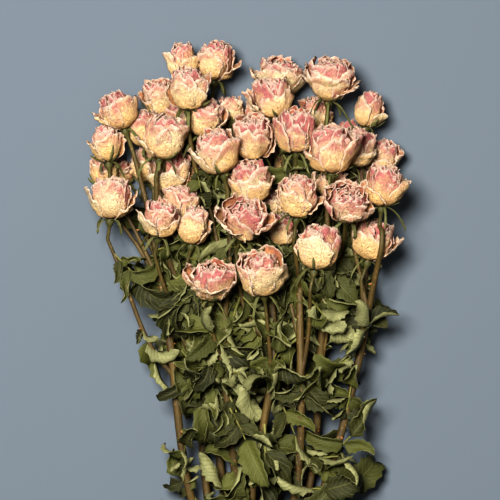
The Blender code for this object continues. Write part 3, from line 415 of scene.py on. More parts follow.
def thinOut(points, tolerance):
    # indices of the points that a line needs to stay within the tolerance of all of them
    keep = {0, len(points) - 1}
    spans = [(0, len(points) - 1)]
    while spans:
        first, last = spans.pop()
        if last - first > 1:
            line = points[last] - points[first]
            share = np.clip((points[first:last + 1] - points[first]) @ line / (line @ line), 0.0, 1.0)
            off = norm(points[first:last + 1] - points[first] - share[:, None] * line, axis=1)
            worst = first + int(np.argmax(off))
            if off[worst - first] > tolerance:
                keep.add(worst)
                spans += [(first, worst), (worst, last)]
    return keep


def isClear(points, reach, balls, ballReach):
    # whether no point comes within its own reach of a ball
    return bool((norm(points[:, None] - balls[None, :], axis=2) - ballReach[None, :] > reach).all())


def sepalDirections(stem):
    # outward directions at the end of a stem, one between each two corners of its solid's tube
    points = stem["points"]
    keep = thinOut(points, stemTolerance)
    if stem["cane"]:
        keep |= {int(np.argmin(np.abs(points[:, 1] - y))) for y in (tieY - tieStraight / 2, tieY + tieStraight / 2)}
    tangents = np.gradient(points[sorted(keep)], axis=0)
    side = np.array([0.0, 0.0, -1.0 if sprays[stem["spray"]].row == 0 else 1.0])
    for tangent in tangents / norm(tangents, axis=1)[:, None]:
        side = unit(side - tangent * (side @ tangent))
    other = np.cross(tangent, side)
    corners = 2 * (caneSides if stem["cane"] else branchSides)
    turns = [math.tau * part / corners for part in range(1, corners, 2)]
    return [side * math.cos(turn) + other * math.sin(turn) for turn in turns]


def placeSepals():
    # adds to each stem the tips of its sepals, as long as they can be beside other blooms and sprays
    points, reach, owner = gather(stems, "points"), gather(stems, "reach"), gather(stems, "points", "spray")
    for stem in stems:
        index = stem["bloom"] - 1
        top = stem["points"][-1] + axes[index] * hipLength
        others, apart = np.arange(len(blooms)) != index, owner != stem["spray"]
        balls = join([centres[others], points[apart]])
        ballReach = join([(radii * rimReach)[others], reach[apart]])
        stem["tips"] = []
        for outward in sepalDirections(stem):
            for size in sepalSizes:
                length = sepalLength * size
                tip = top + outward * (hipRadius + length * 0.62) - axes[index] * (1.5 + length * 0.5)
                line = np.linspace(top, tip, 4)[1:]
                if line[:, 2].min() > floorClear and isClear(line, sepalBall, balls, ballReach):
                    break
            stem["tips"].append(tip)
            points = join([points, line])
            reach = join([reach, np.full(len(line), sepalBall)])
            owner = join([owner, np.full(len(line), stem["spray"])])


def stemBalls(label):
    # the points of all stems and their sepals' tips, their reaches, and the stems' values of the label
    tips = gather(stems, "tips")
    return (join([gather(stems, "points"), tips]), join([gather(stems, "reach"), np.full(len(tips), sepalBall)]),
            join([gather(stems, key, label) for key in ("points", "tips")]))


def petalAngles(bloom):
    # directions of the outer petals in order, and how far each stands off, from 0 to 1
    count = forms[bloom.form].petals
    first = bloom.standOff[0] if bloom.standOff else bloom.number * 47
    angles = [(first + part * 360 / count) % 360 for part in range(count)]
    off = [0.0] * count
    for wanted in bloom.standOff:
        nearest = min(range(count), key=lambda part: (off[part], abs((angles[part] - wanted + 180) % 360 - 180)))
        angles[nearest] = wanted % 360
        off[nearest] = 1.0
    return [(angles[part], off[part]) for part in sorted(range(count), key=lambda part: angles[part])]


def outerRings(index, off):
    # points round the belly and the rim of a bloom, with each outer petal standing off as far as off says
    bloom, height = blooms[index], heights[index]
    right, behind, axis = bloomFrame(bloom)
    base = centres[index] - axis * height / 2
    angles = [angle for angle, _ in petalAngles(bloom)]
    count = len(angles)
    perPetal = bloomSides // count
    rings = []
    form = forms[bloom.form]
    for (out, up), amount, wave in ((form.belly, 0.12, 0.0), (form.rim, 1.0, rimWave)):
        points = []
        for part, angle in enumerate(angles):
            before = ((angle - angles[part - 1]) % 360) / 2
            after = ((angles[(part + 1) % count] - angle) % 360) / 2
            for step in range(perPetal):
                across = 2 * (step + 0.5) / perPetal - 1
                turn = math.radians(angle + across * 0.94 * (after if across > 0 else before))
                stand = off[part] * (1 - 0.45 * across ** 2)
                radius = out + amount * (0.05 * across + standOff * stand) + wave * (-1) ** len(points)
                level = up - amount * (0.13 * across ** 2 + 0.22 * stand)
                level += wave * math.cos(rimTurn * len(points)) * 0.5
                outward = right * math.cos(turn) + behind * math.sin(turn)
                points.append(base + outward * radius * bloom.radius + axis * level * height)
        rings.append(keepInCell(np.array(points), index, seatGap))
    return rings


def placePetals():
    # for each bloom, how far each outer petal stands off: as far as there is room beside stems and sepals
    points, reach, owner = stemBalls("bloom")
    placed = []
    for index, bloom in enumerate(blooms):
        others = (norm(points - centres[index], axis=1) < bloom.radius * 2.6) & (owner != bloom.number)
        off = [amount for _, amount in petalAngles(bloom)]
        perPetal = bloomSides // len(off)
        for part in range(len(off)):
            for share in (1.0, 0.8, 0.6, 0.4, 0.2, 0.0):
                trial = off[:part] + [off[part] * share] + off[part + 1:]
                belly, rim = [ring[part * perPetal:(part + 1) * perPetal] for ring in outerRings(index, trial)]
                edge = join([rim, (rim + belly) / 2])
                edge = join([edge, (edge[1:] + edge[:-1]) / 2])
                if isClear(edge, petalBall, points[others], reach[others]):
                    break
            off = trial
        placed.append(off)
    return placed


# A leaf's middle surface as one sheet: eight points of the stalk, two abreast, then seven for each leaflet
leafTriangles = [corner for pair in (0, 2, 4) for corner in ((pair, pair + 1, pair + 3), (pair, pair + 3, pair + 2))]
for first, (left, right) in ((8, (6, 7)), (15, (2, 4)), (22, (5, 3))):
    leafTriangles += [(left, first + 1, first), (left, right, first + 1), (right, first + 2, first + 1)]
    leafTriangles += [tuple(first + corner for corner in corners) for corners in (
        (0, 1, 3), (1, 4, 3), (1, 2, 4), (2, 5, 4), (3, 4, 6), (4, 5, 6))]


def leafletPoints(base, along, normal, length, width, wave):
    # seven points of a leaflet: folded along its rib, curled down at its tip and waved at its edge
    side = np.cross(along, normal)
    points = []
    for share, half, lift in ((0.36, 0.95, wave), (0.74, 0.80, -wave)):
        rib = base + along * length * share - normal * length * leafCurl * share ** 2
        for edge in (-1, 0, 1):
            rise = abs(edge) * (leafFold * width * half / 2) + edge * lift
            points.append(rib + side * edge * half * width / 2 + normal * rise)
    return points + [base + along * length - normal * length * leafCurl]


def leafSurface(root, along, normal, size, wave):
    # the points of a leaf's middle surface: its stalk, the leaflet at the end and a pair below it
    normal = unit(normal - along * (normal @ along))
    side = np.cross(along, normal)
    stalk, length, width = stalkLength * size, leafletLength * size, leafletWidth * size
    points = []
    for share in (0.0, 0.56, 0.64, 1.0):
        middle = root + along * stalk * share - normal * stalk * stalkBend * share ** 2
        points += [middle - side * stalkWidth / 2, middle + side * stalkWidth / 2]
    end = root + along * stalk * 1.02 - normal * stalk * stalkBend
    points += leafletPoints(end, along, normal, length, width, wave)
    joint = root + along * stalk * 0.60 - normal * stalk * 0.03
    for edge in (-1, 1):
        out = along * math.cos(pairAngle) + side * edge * math.sin(pairAngle)
        points += leafletPoints(joint, out, normal, length * 0.84, width * 0.84, -wave * edge)
    return np.array(points)


def zoneLimits(y):
    return np.interp(y, zoneY, zoneLeft), np.interp(y, zoneY, zoneRight)


def swungOut(draw, swings, lifts):
    # a random direction out of a stem, from ranges of its swing to the side and its lift
    swing, lift = math.radians(draw.uniform(*swings)), math.radians(draw.uniform(*lifts))
    return np.array([math.sin(swing) * math.cos(lift), math.cos(swing) * math.cos(lift), math.sin(lift)])


def placeLeaves():
    # the leaves of the solids, as the number of the spray and root, direction, upper side, size and wave of each,
    # none of which crosses another node
    balls, reach, owner = stemBalls("spray")
    rims = [outerRings(index, off)[1] for index, off in enumerate(petalStands)]
    rims = join([join([rim, (rim + np.roll(rim, 1, axis=0)) / 2]) for rim in rims])
    balls = join([balls, centres, rims])
    reach = join([reach, radii * rimReach, np.full(len(rims), petalBall)])
    owner = join([owner, np.full(len(centres) + len(rims), -1)])
    canes = [stem["points"] for stem in stems if stem["cane"]]
    placed = []

    def tryLeaf(number, root, along, normal, size, wave):
        nonlocal balls, reach, owner
        foot = root + along * caneRadius * 0.4
        surface = leafSurface(foot, along, normal, size, wave)
        corners = surface[np.array(leafTriangles)]
        middles = (corners + np.roll(corners, 1, axis=1)) / 2
        points = join([surface, middles.reshape(-1, 3), corners.mean(axis=1)])
        left, right = zoneLimits(points[:, 1])
        if points[:, 2].min() < floorClear or (points[:, 0] < left).any() or (points[:, 0] > right).any():
            return False
        near = norm(balls - root, axis=1) < 88 * size
        other, own = near & (owner != number), near & (owner == number) & (reach == leafBall)
        away = points[norm(points - root, axis=1) > 12 * size]
        if not (isClear(points, leafBall + leafSpace, balls[other], reach[other])
                and isClear(away, ownLeafSpace, balls[own], reach[own])):
            return False
        placed.append((number, (foot, along, normal, size, wave)))
        balls = join([balls, points])
        reach = join([reach, np.full(len(points), leafBall)])
        owner = join([owner, np.full(len(points), number)])
        return True

    for index, (spray, rootY, x, y, rise, size) in enumerate(shownLeaves):
        draw = random.Random(leafSeed + index)
        root = canes[spray][int(np.argmin(np.abs(canes[spray][:, 1] - rootY)))]
        for attempt in range(shownTries):
            ease = attempt / shownTries
            tip = np.array([x, y, root[2] + rise])
            tip += np.array([draw.uniform(-24, 24), draw.uniform(-24, 24), draw.uniform(-10, 30)]) * ease
            normal = np.array([draw.uniform(-0.5, 0.5), draw.uniform(-0.5, 0.5), 1.0])
            wave = draw.uniform(-2.0, 2.0)
            if tryLeaf(spray, root, unit(tip - root), normal, size * (1 - 0.3 * ease), wave):
                break
    for number, cane in enumerate(canes):
        draw = random.Random(leafSeed * 2 + number)
        usable = cane[(cane[:, 1] > fillLowY) & (cane[:, 1] < fillHighY)]
        grown = 0
        for _ in range(fillTries):
            if grown < fillLeaves:
                root = usable[draw.randrange(len(usable))]
                along = swungOut(draw, (-100, 100), (-20, 50))
                normal = np.array([draw.uniform(-0.8, 0.8), draw.uniform(-0.8, 0.8), draw.uniform(0.3, 1.0)])
                size = draw.uniform(0.8, 1.1)
                grown += tryLeaf(number, root, along, normal, size, draw.uniform(-2.0, 2.0))
    return placed


placeSepals()
petalStands = placePetals()
leaves = placeLeaves()
bandLow, bandHigh = (np.array(corner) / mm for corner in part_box("band"))
layoutShift = (bandLow + bandHigh) / 2 * np.array([1, 1, 0]) - np.array([0, tieY, 0])
print("layout:", len(stems), "stems,", len(leaves), "leaves")


# Working tools: colours, nodes, materials, meshes and smooth random waves
floorEase = 3.0          # mm above the floor, below which points are pressed together
bladeFaces = {}


def toLinear(hexColour):
    # sRGB hex to linear red, green and blue, with alpha 1
    parts = [int(hexColour[place:place + 2], 16) / 255 for place in (1, 3, 5)]
    return (*[part / 12.92 if part <= 0.04045 else ((part + 0.055) / 1.055) ** 2.4 for part in parts], 1.0)


def addNode(tree, kind, inputs=(), out=0, **settings):
    # one node with its settings, and one of its outputs back; an input that is a socket is linked, a list is
    # linked one by one, and any other is set
    node = tree.nodes.new(kind)
    for key, value in settings.items():
        setattr(node, key, value)
    for key, value in inputs.items() if isinstance(inputs, dict) else enumerate(inputs):
        for given in value if isinstance(value, list) else [value]:
            if isinstance(given, bpy.types.NodeSocket):
                tree.links.new(given, node.inputs[key])
            else:
                node.inputs[key].default_value = given
    return node.outputs[out] if node.outputs else None


# What a step of a material may be besides the name of a Math operation: its node, the sockets of its inputs, its
# output and its settings. Sizes of noises and waves are 1000 over millimetres.
stepKinds = {
    "mix": ("ShaderNodeMix", (0, 6, 7), 2, {"data_type": "RGBA"}),
    "noise": ("ShaderNodeTexNoise", ("Vector", "Scale", "Detail", "Roughness", "Distortion"), 0, {}),
    "wave": ("ShaderNodeTexWave", ("Vector", "Scale", "Distortion", "Detail", "Detail Scale"), "Fac",
             {"wave_type": "BANDS", "bands_direction": "X"}),
    "stretch": ("ShaderNodeMapping", ("Vector", "Scale"), 0, {}),
    "x": ("ShaderNodeSeparateXYZ", (0,), 0, {}),
    "y": ("ShaderNodeSeparateXYZ", (0,), 1, {}),
}
sources = {"place": ("ShaderNodeTexCoord", "Object", {}), "uv": ("ShaderNodeUVMap", 0, {"uv_map": "UVMap"})}


def makeMaterial(name, steps, words, bump, finish):
    # a material from its steps to "colour" and "height". A step has the name of its result, what it is and its
    # inputs: numbers, hex colours, the given words, earlier results, or else the names of the mesh's own values.
    # "tint" mixes two colours by a value times a slope plus a start.
    material = bpy.data.materials.new(name)
    material.use_nodes = True
    material.node_tree.nodes.clear()
    add = partial(addNode, material.node_tree)
    made = {}

    def given(value):
        value = words.get(value, value) if isinstance(value, str) else value
        if not isinstance(value, str):
            return value
        if value[0] == "#":
            return toLinear(value)
        if value not in made:
            kind, out, settings = sources.get(value, ("ShaderNodeAttribute", "Fac", {"attribute_name": value}))
            made[value] = add(kind, (), out, **settings)
        return made[value]

    for result, kind, *inputs in steps:
        inputs = [given(value) for value in inputs]
        if kind == "tint":
            inputs[:3] = [add("ShaderNodeMath", inputs[:3], operation="MULTIPLY_ADD", use_clamp=True)]
            kind = "mix"
        if kind in stepKinds:
            node, sockets, out, settings = stepKinds[kind]
            made[result] = add(node, dict(zip(sockets, inputs)), out, **settings)
        else:
            operation, _, clamp = kind.partition(" ")
            made[result] = add("ShaderNodeMath", inputs, operation=operation, use_clamp=bool(clamp))
    normal = add("ShaderNodeBump", {"Height": made["height"], "Distance": bump[0], "Strength": bump[1]})
    shader = add("ShaderNodeBsdfPrincipled", {"Base Color": made["colour"], "Normal": normal, **finish})
    add("ShaderNodeOutputMaterial", {"Surface": shader})
    return material


def ripple(points, size, seed):
    # smooth random waves from -1 to 1 at points, with a new height about every size
    spots = np.asarray(points) / size + seed * 7.31
    cells = np.floor(spots)
    ease = (spots - cells) ** 2 * (3 - 2 * (spots - cells))
    total = 0.0
    for corner in np.ndindex(2, 2, 2):
        spot = (cells + corner).astype(np.int64)
        mixed = spot[..., 0] * 374761393 + spot[..., 1] * 668265263 + spot[..., 2] * 1440662683
        mixed = (mixed ^ (mixed >> 13)) * 1274126177
        height = ((mixed ^ (mixed >> 16)) & 65535) / 32767.5 - 1
        total = total + height * np.where(corner, ease, 1 - ease).prod(axis=-1)
    return total


def fade(low, high, value):
    # 0 below low, 1 above high, smooth between them
    share = np.clip((value - low) / (high - low), 0.0, 1.0)
    return share * share * (3 - 2 * share)


def blade(grid, thickness, across, length, values):
    # a closed shell round a grid of points, from its front, its back and the strip round its edge, with its UV in
    # mm from the middle and the foot, and its values by name
    rows, columns = grid.shape[:2]
    normals = np.cross(np.gradient(grid, axis=1), np.gradient(grid, axis=0))
    normals /= norm(normals, axis=2)[:, :, None] + 1e-12
    half = normals * thickness / 2
    if (rows, columns) not in bladeFaces:
        spots = np.arange(rows * columns).reshape(rows, columns)
        front = np.stack([spots[:-1, :-1], spots[:-1, 1:], spots[1:, 1:], spots[1:, :-1]], axis=2).reshape(-1, 4)
        edge = join([spots[0, :-1], spots[:-1, -1], spots[-1, :0:-1], spots[:0:-1, 0]])
        after = np.roll(edge, -1)
        total = rows * columns
        strip = np.stack([after, edge, edge + total, after + total], axis=1)
        # the back's quads start at the same corner, so both sides are split along the same line
        bladeFaces[rows, columns] = join([front, front[:, [0, 3, 2, 1]] + total, strip])
    uv = np.stack(np.broadcast_arrays(across, length), axis=2).reshape(-1, 2)
    return {
        "points": join([(grid + half).reshape(-1, 3), (grid - half).reshape(-1, 3)]),
        "quads": bladeFaces[rows, columns], "uv": join([uv, uv]),
        "values": {"inside": np.repeat([0.0, 1.0], rows * columns), **values},
    }


def liftedOff(points):
    # points in mm, with what lies lower than floorEase pressed together so that nothing goes under the floor
    low = np.minimum(points[:, 2] - floorEase, 0.0)
    lifted = np.where(low < 0, floorEase * np.exp(low / floorEase), points[:, 2])
    return np.stack([points[:, 0], points[:, 1], lifted], axis=1)


def newMesh(name, points, values):
    # a mesh of points in mm, with numbers or vectors by name on them
    mesh = bpy.data.meshes.new(name)
    mesh.vertices.add(len(points))
    mesh.vertices.foreach_set("co", (points * mm).astype(np.float32).ravel())
    for key, value in values.items():
        kind, place = ("FLOAT", "value") if value.ndim == 1 else ("FLOAT_VECTOR", "vector")
        mesh.attributes.new(key, kind, "POINT").data.foreach_set(place, value.astype(np.float32).ravel())
    return mesh


def linesMesh(name, lines, dots, values):
    # a mesh of edges only: open lines, then single dots, in the bunch's place
    mesh = newMesh(name, join([*lines, dots]) + layoutShift, values)
    ends = np.cumsum([len(line) for line in lines])
    edges = [(spot, spot + 1) for spot in range(ends[-1]) if spot + 1 not in ends]
    mesh.edges.add(len(edges))
    mesh.edges.foreach_set("vertices", np.array(edges, dtype=np.int32).ravel())
    return mesh


def addObject(name, data):
    made = bpy.data.objects.new(name, data)
    bpy.context.scene.collection.objects.link(made)
    return made


def makePiece(name, shells, material, inPlace=True):
    # one mesh of many shells, moved to the bunch's place or left at the origin
    points = gather(shells, "points")
    starts = np.cumsum([0] + [len(shell["points"]) for shell in shells])
    quads = join([shell["quads"] + start for shell, start in zip(shells, starts)])
    mesh = newMesh(name, liftedOff(points + layoutShift) if inPlace else points, {
        key: join([np.broadcast_to(shell["values"][key], len(shell["points"])) for shell in shells])
        for key in shells[0]["values"]})
    mesh.loops.add(quads.size)
    mesh.loops.foreach_set("vertex_index", quads.astype(np.int32).ravel())
    mesh.polygons.add(len(quads))
    mesh.polygons.foreach_set("loop_start", np.arange(0, quads.size, 4, dtype=np.int32))
    mesh.polygons.foreach_set("use_smooth", np.ones(len(quads), dtype=bool))
    mesh.update(calc_edges=True)
    uv = gather(shells, "uv") * mm
    mesh.uv_layers.new(name="UVMap").data.foreach_set("uv", uv[quads.ravel()].astype(np.float32).ravel())
    mesh.materials.append(material)
    return addObject(name, mesh)


def newTree(name, settings):
    # an empty Geometry Nodes tree with an input for each setting; returns it, what adds a node, and its inputs
    tree = bpy.data.node_groups.new(name, "GeometryNodeTree")
    for side in ("INPUT", "OUTPUT"):
        tree.interface.new_socket(name="Geometry", in_out=side, socket_type="NodeSocketGeometry")
    for label, value in settings.items():
        kind = "NodeSocketInt" if isinstance(value, int) else "NodeSocketFloat"
        tree.interface.new_socket(name=label, in_out="INPUT", socket_type=kind)
    return tree, partial(addNode, tree), addNode(tree, "NodeGroupInput").node.outputs


def runTree(tree, name, mesh, settings):
    # the plain mesh that a Geometry Nodes tree makes of a mesh, as a new object
    piece = addObject(name, mesh)
    modifier = piece.modifiers.new("tree", "NODES")
    modifier.node_group = tree
    for item in tree.interface.items_tree:
        if item.item_type == "SOCKET" and item.in_out == "INPUT" and item.name in settings:
            modifier[item.identifier] = settings[item.name]
    made = bpy.data.meshes.new_from_object(piece.evaluated_get(bpy.context.evaluated_depsgraph_get()))
    points = np.zeros(len(made.vertices) * 3)
    made.vertices.foreach_get("co", points)
    made.vertices.foreach_set("co", (liftedOff(points.reshape(-1, 3) / mm) * mm).ravel())
    made.update()
    piece.modifiers.clear()
    piece.data = made
    made.name = name
    return piece


def dress(piece, node):
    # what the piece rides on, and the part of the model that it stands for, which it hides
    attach(piece, "root")
    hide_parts(node)


# Petals: each layer has how many there are, rows and columns of their grids, half width in degrees, how far
# their line goes from the outer petals' (0) to the core's (1), how high they stand, how much shorter some are, how
# far their rims peel outwards, and how crumpled they are
petalLayer = namedtuple("petalLayer", "count rows columns half inward high shorter peel crumple")
petalSettings = {
    "layers": (
        petalLayer(0, 15, 17, 68, 0.0, 0.90, 0.40, 0.12, 0.85),     # as many as the form says
        petalLayer(3, 13, 15, 64, 0.17, 0.94, 0.22, 0.05, 1.1),
        petalLayer(4, 11, 13, 56, 0.36, 0.96, 0.18, 0.0, 1.2),
        petalLayer(5, 10, 12, 54, 0.56, 0.97, 0.18, 0.0, 1.3),
        petalLayer(5, 7, 9, 58, 0.76, 0.98, 0.18, 0.0, 1.4),
        petalLayer(6, 6, 7, 74, 0.93, 0.98, 0.18, 0.0, 1.4),
    ),
    "formCrumple": {"bud": 0.8, "globe": 1.0, "open": 1.15, "withered": 1.9},
    "loose": (0.0, 0.1, 0.2, 0.45),     # how far an outer petal stands off where the solid's doesn't
    "turn": 137.5,        # degrees from one inner petal to the next
    "thickness": 0.4,     # mm
    "tuck": 0.05,         # how far one side edge lies over its neighbour, and the other under, over the radius
    "roll": 0.10,         # how far the edge that lies over rolls back, over the radius
    "pleat": 2.4,         # mm, at the rim
    "lift": 1.5,          # mm, rims up and down
    "frill": 1.6,         # mm, at the very edge
    "dent": 1.2,          # mm, dents about 9 mm apart
    "crease": 0.8,        # mm, folds about 5 mm apart
    "fineCrease": 0.45,   # mm, folds about 1.9 mm apart
    "squeeze": 0.85,      # how much of what reaches past a neighbour is pushed back
}


def levelLine(levels):
    # radius and height on a smooth line through the levels, for a share of its length
    line = smoothPath(levels, 0.05)
    along = join([[0.0], np.cumsum(norm(np.diff(line, axis=0), axis=1))])
    along /= along[-1]
    return lambda share: (np.interp(share, along, line[:, 0]), np.interp(share, along, line[:, 1]))


def layerLine(form, inward):
    # the line of a petal's middle from foot to rim, between that of the outer petals and that of the core
    rim, top, gap, inner, pit = form.rim[0], form.rim[1], form.gap[0], form.inner, form.pit[0]
    outer = np.array([form.foot, form.skirt, form.belly, (rim * 0.99 + 0.01, (form.belly[1] + top) / 2 + 0.03),
                      (rim * 0.94, top + 0.02), (rim * 0.78, 0.99)])
    middle = np.array([(0.16, 0.03), (0.66, 0.20), (gap * 1.04, 0.46), (gap * 0.98, 0.70),
                       (gap * 0.90, 0.86), (inner[0] * 0.85, 1.0)])
    core = np.array([(0.05, 0.26), (0.14, 0.44), (0.20, 0.60), (pit * 0.75, 0.78), (pit * 0.6, 0.90),
                     (pit * 0.4, inner[1] + 0.01)])
    if inward < 0.4:
        return levelLine(outer + (middle - outer) * inward / 0.4)
    return levelLine(middle + (core - middle) * (inward - 0.4) / 0.6)


def squeezeBack(points, index):
    # as keepInCell does, but soft: crowded petals are pressed back, not cut flat
    flat = points.reshape(-1, 3)
    kept = keepInCell(flat, index, 0.2)
    return (flat + (kept - flat) * petalSettings["squeeze"]).reshape(points.shape)


def petal(index, layer, angle, line, off, seed):
    # one petal as a closed shell; off is how far it stands off, from 0 to 1
    bloom, height = blooms[index], heights[index]
    draw = random.Random(seed)
    right, behind, axis = bloomFrame(bloom)
    base = centres[index] - axis * height / 2
    crumple = layer.crumple * petalSettings["formCrumple"][bloom.form] * (1 + 0.5 * off)
    across = np.linspace(-1, 1, layer.columns)[None, :]
    share = np.linspace(0, 1, layer.rows)[:, None] ** 0.85
    # the rim: rounder where the petal stands off, pointed in its middle and uneven
    edgeSpots = np.stack([across[0] * 7 + seed, across[0] * 0, across[0] * 0], axis=1)
    point = draw.uniform(-0.05, 0.09) + 0.08 * off
    top = 1 - (0.18 + 0.14 * off) * np.abs(across) ** 2.4 + point * (1 - np.abs(across)) ** 1.5
    top = (top + 0.09 * crumple * ripple(edgeSpots, 1.9, 3)[None, :]) * layer.high
    up = share * (top * (1.05 - layer.shorter * draw.random()))
    rimNear = fade(0.68, 1.0, share)
    radius, level = line(up)
    spread = math.radians(layer.half) * draw.uniform(0.92, 1.08) * (1 - 0.22 * off)
    spread = spread * (0.62 + 0.38 * fade(0.0, 0.35, up))
    stand = off * (1 - 0.75 * across ** 2) * fade(0.30, 1.0, up)
    turn = math.radians(angle) + spread * across
    # one side lies over the next petal, and its edge rolls back
    hand = 1 if bloom.number % 2 else -1
    over = fade(0.62, 1.0, across * hand) * fade(0.25, 0.6, share)
    radius = radius + petalSettings["tuck"] * across * hand + standOff * stand
    radius = radius + over * petalSettings["roll"] * draw.random()
    radius = radius + rimNear * (layer.peel + draw.uniform(-0.08, 0.08))
    level = level - 0.14 * stand - rimNear * draw.uniform(-0.02, 0.03)
    outward = right * np.cos(turn)[..., None] + behind * np.sin(turn)[..., None]
    points = base + outward * (radius * bloom.radius)[..., None] + axis * (level * height)[..., None]
    # pleats, dents and creases
    body = fade(0.05, 0.3, up)
    frill = fade(0.80, 1.0, np.maximum(share, np.abs(across) * fade(0.3, 0.7, share)))
    waves = 0.0
    upright = points - axis * ((points - base) @ axis)[..., None] * 0.6
    for key, spots, size, step, where in (
            ("pleat", upright, 3.2, 0, rimNear), ("dent", points, 9.0, 3, body), ("crease", points, 5.0, 1, body),
            ("fineCrease", points, 1.9, 2, 1.0), ("frill", points, 2.3, 6, frill)):
        waves = waves + ripple(spots, size, seed + step) * petalSettings[key] * where * crumple
    lift = ripple(points, 4.2, seed + 4) * rimNear * petalSettings["lift"] * crumple
    lift = lift + ripple(points, 2.6, seed + 7) * frill * 0.8
    points = squeezeBack(points + outward * waves[..., None] + axis * lift[..., None], index)
    values = {key: np.tile(np.broadcast_to(value, up.shape).ravel(), 2)
              for key, value in (("rim", share), ("side", np.abs(across)), ("level", level))}
    values.update(inward=np.array(layer.inward), tone=np.array(draw.random()),
                  flower=np.array(random.Random(bloom.number).random()))
    return blade(points, petalSettings["thickness"], spread * across * bloom.radius, up * height, values)


def bloomPetals(index):
    # all petals of one bloom: the outer ones where the solid has them, then the inner ones turn by turn
    bloom = blooms[index]
    seed = bloom.number * 100
    outer, *inner = petalSettings["layers"]
    line = layerLine(forms[bloom.form], 0.0)
    shells = []
    for part, (angle, _) in enumerate(petalAngles(bloom)):
        loose = random.Random(seed + part).choice(petalSettings["loose"])
        shells.append(petal(index, outer, angle, line, max(petalStands[index][part], loose), seed + part))
    angle = bloom.number * 61.0
    for layer in inner:
        line = layerLine(forms[bloom.form], layer.inward)
        for _ in range(layer.count):
            angle += petalSettings["turn"]
            shells.append(petal(index, layer, angle, line, 0.0, seed + 10 + len(shells)))
    return shells


# dried petal: papery and matt, cream below and rose towards the rims, whose very edges are pale, partly from drying
# and partly as a painted highlight; creases hold painted shade and ridges painted highlights
petalSteps = (
    ("blotch", "noise", "place", 1000 / 8, 3, 0.6, 0.8),
    ("crinkle", "noise", "place", 1000 / 2.3, 3, 0.6, 2.0),
    ("speckle", "noise", "place", 1000 / 1.5, 2, 0.6),
    ("freckle", "noise", "place", 1000 / 2.2, 1, 0.6),
    # rose colour grows with height, towards the rim and to the middle, broken up by blotches
    ("rose", "MULTIPLY_ADD", "level", 1.7, -2.15),
    ("rose", "MULTIPLY_ADD", "inward", 0.8, "rose"),
    ("rose", "MULTIPLY_ADD", "blotch", 2.2, "rose"),
    ("rose", "MULTIPLY_ADD", "side", 0.22, "rose"),
    ("rose", "MULTIPLY_ADD", "tone", 0.3, "rose"),
    ("rose", "MULTIPLY_ADD clamp", "flower", 0.25, "rose"),
    ("cream", "mix", "tone", "#FFE8B8", "#F9D295"),
    ("cream", "tint", "level", -1.6, 0.85, "cream", "#E7B266"),
    ("cream", "tint", "speckle", 1.4, -0.62, "cream", "#DCA65E"),
    ("pink", "mix", "blotch", "#A5424E", "#DC8A80"),
    ("pink", "tint", "speckle", 1.6, -0.75, "pink", "#F0C4A0"),
    ("colour", "mix", "rose", "cream", "pink"),
    ("colour", "tint", "freckle", 10, -6.9, "colour", "#A8703F"),
    # painted shade and highlights: the low spots of the crinkle noise, which the bump makes dents, are tinted brown as
    # painted shade in the creases, and its high spots, the ridges, are made paler as painted highlights
    # colour of the painted shade in the creases, browner where the petal is cream and redder where it is rose
    ("crease", "mix", "rose", "#B06A34", "#8C3439"),
    ("colour", "tint", "crinkle", -6, 2.25, "colour", "crease"),
    # the painted highlight on the ridges: its colour, and the high spots of the crinkle noise where it lies
    ("ridge", "mix", "rose", "#FFEEC8", "#F2B8A0"),
    ("pale", "MULTIPLY_ADD clamp", "crinkle", 5, -2.9),
    ("colour", "tint", "pale", 0.75, 0, "colour", "ridge"),
    # inner faces turn orange brown: partly their own dried colour, partly painted shade on the faces turned in towards
    # the bloom
    ("colour", "tint", "inside", 0.6, 0, "colour", "#C8743C"),
    # the foot of the inner petals turns red brown: partly their deeper colour, partly painted shade deep in the
    # bloom's middle
    ("foot", "MULTIPLY_ADD clamp", "rim", -1.5, 1.25),
    ("core", "MULTIPLY", "foot", "inward"),
    ("colour", "tint", "core", 1.4, 0, "colour", "#8A2C2E"),
    # the outermost edge is pale and papery: partly the dried edge's own colour, partly a painted highlight along the
    # rim
    ("top", "MULTIPLY_ADD clamp", "rim", 10, -9),
    ("flank", "MULTIPLY_ADD clamp", "side", 9, -8.1),
    ("edge", "MAXIMUM", "top", "flank"),
    ("colour", "tint", "edge", 0.8, 0, "colour", "#FFE6CA"),
    ("veins", "wave", "uv", 260, 5, 2, 1.4),
    ("height", "MULTIPLY", "speckle", 0.5),
    ("height", "MULTIPLY_ADD", "crinkle", 2, "height"),
    ("height", "MULTIPLY_ADD", "veins", 0.12, "height"),
)
driedPetal = makeMaterial("driedPetal", petalSteps, {}, (0.0019, 1.0), {
    "Roughness": 0.7, "IOR": 1.45, "Sheen Weight": 0.08, "Specular IOR Level": 0.3})
for index, bloom in enumerate(blooms):
    name = "bloom_%02d" % bloom.number
    dress(makePiece(name + "_petals", bloomPetals(index), driedPetal), name)
print("petals done")


# Sepals: thin green tongues under each bloom, most hanging with curled tips, some lying on its petals
sepalSettings = {
    "rows": 10, "columns": 5,
    "width": 3.1,         # mm
    "thickness": 0.35,    # mm
    "longer": 1.4,        # how far past the solid's tip the dry point curls
    "lying": 3,           # how many lie on the bloom
    "vein": 2.2,          # mm between side veins
}


def turned(side, up, angle):
    # two directions across a line, turned round it by an angle at each of its points
    across, along = np.cos(angle)[:, None], np.sin(angle)[:, None]
    return side * across + up * along, up * across - side * along


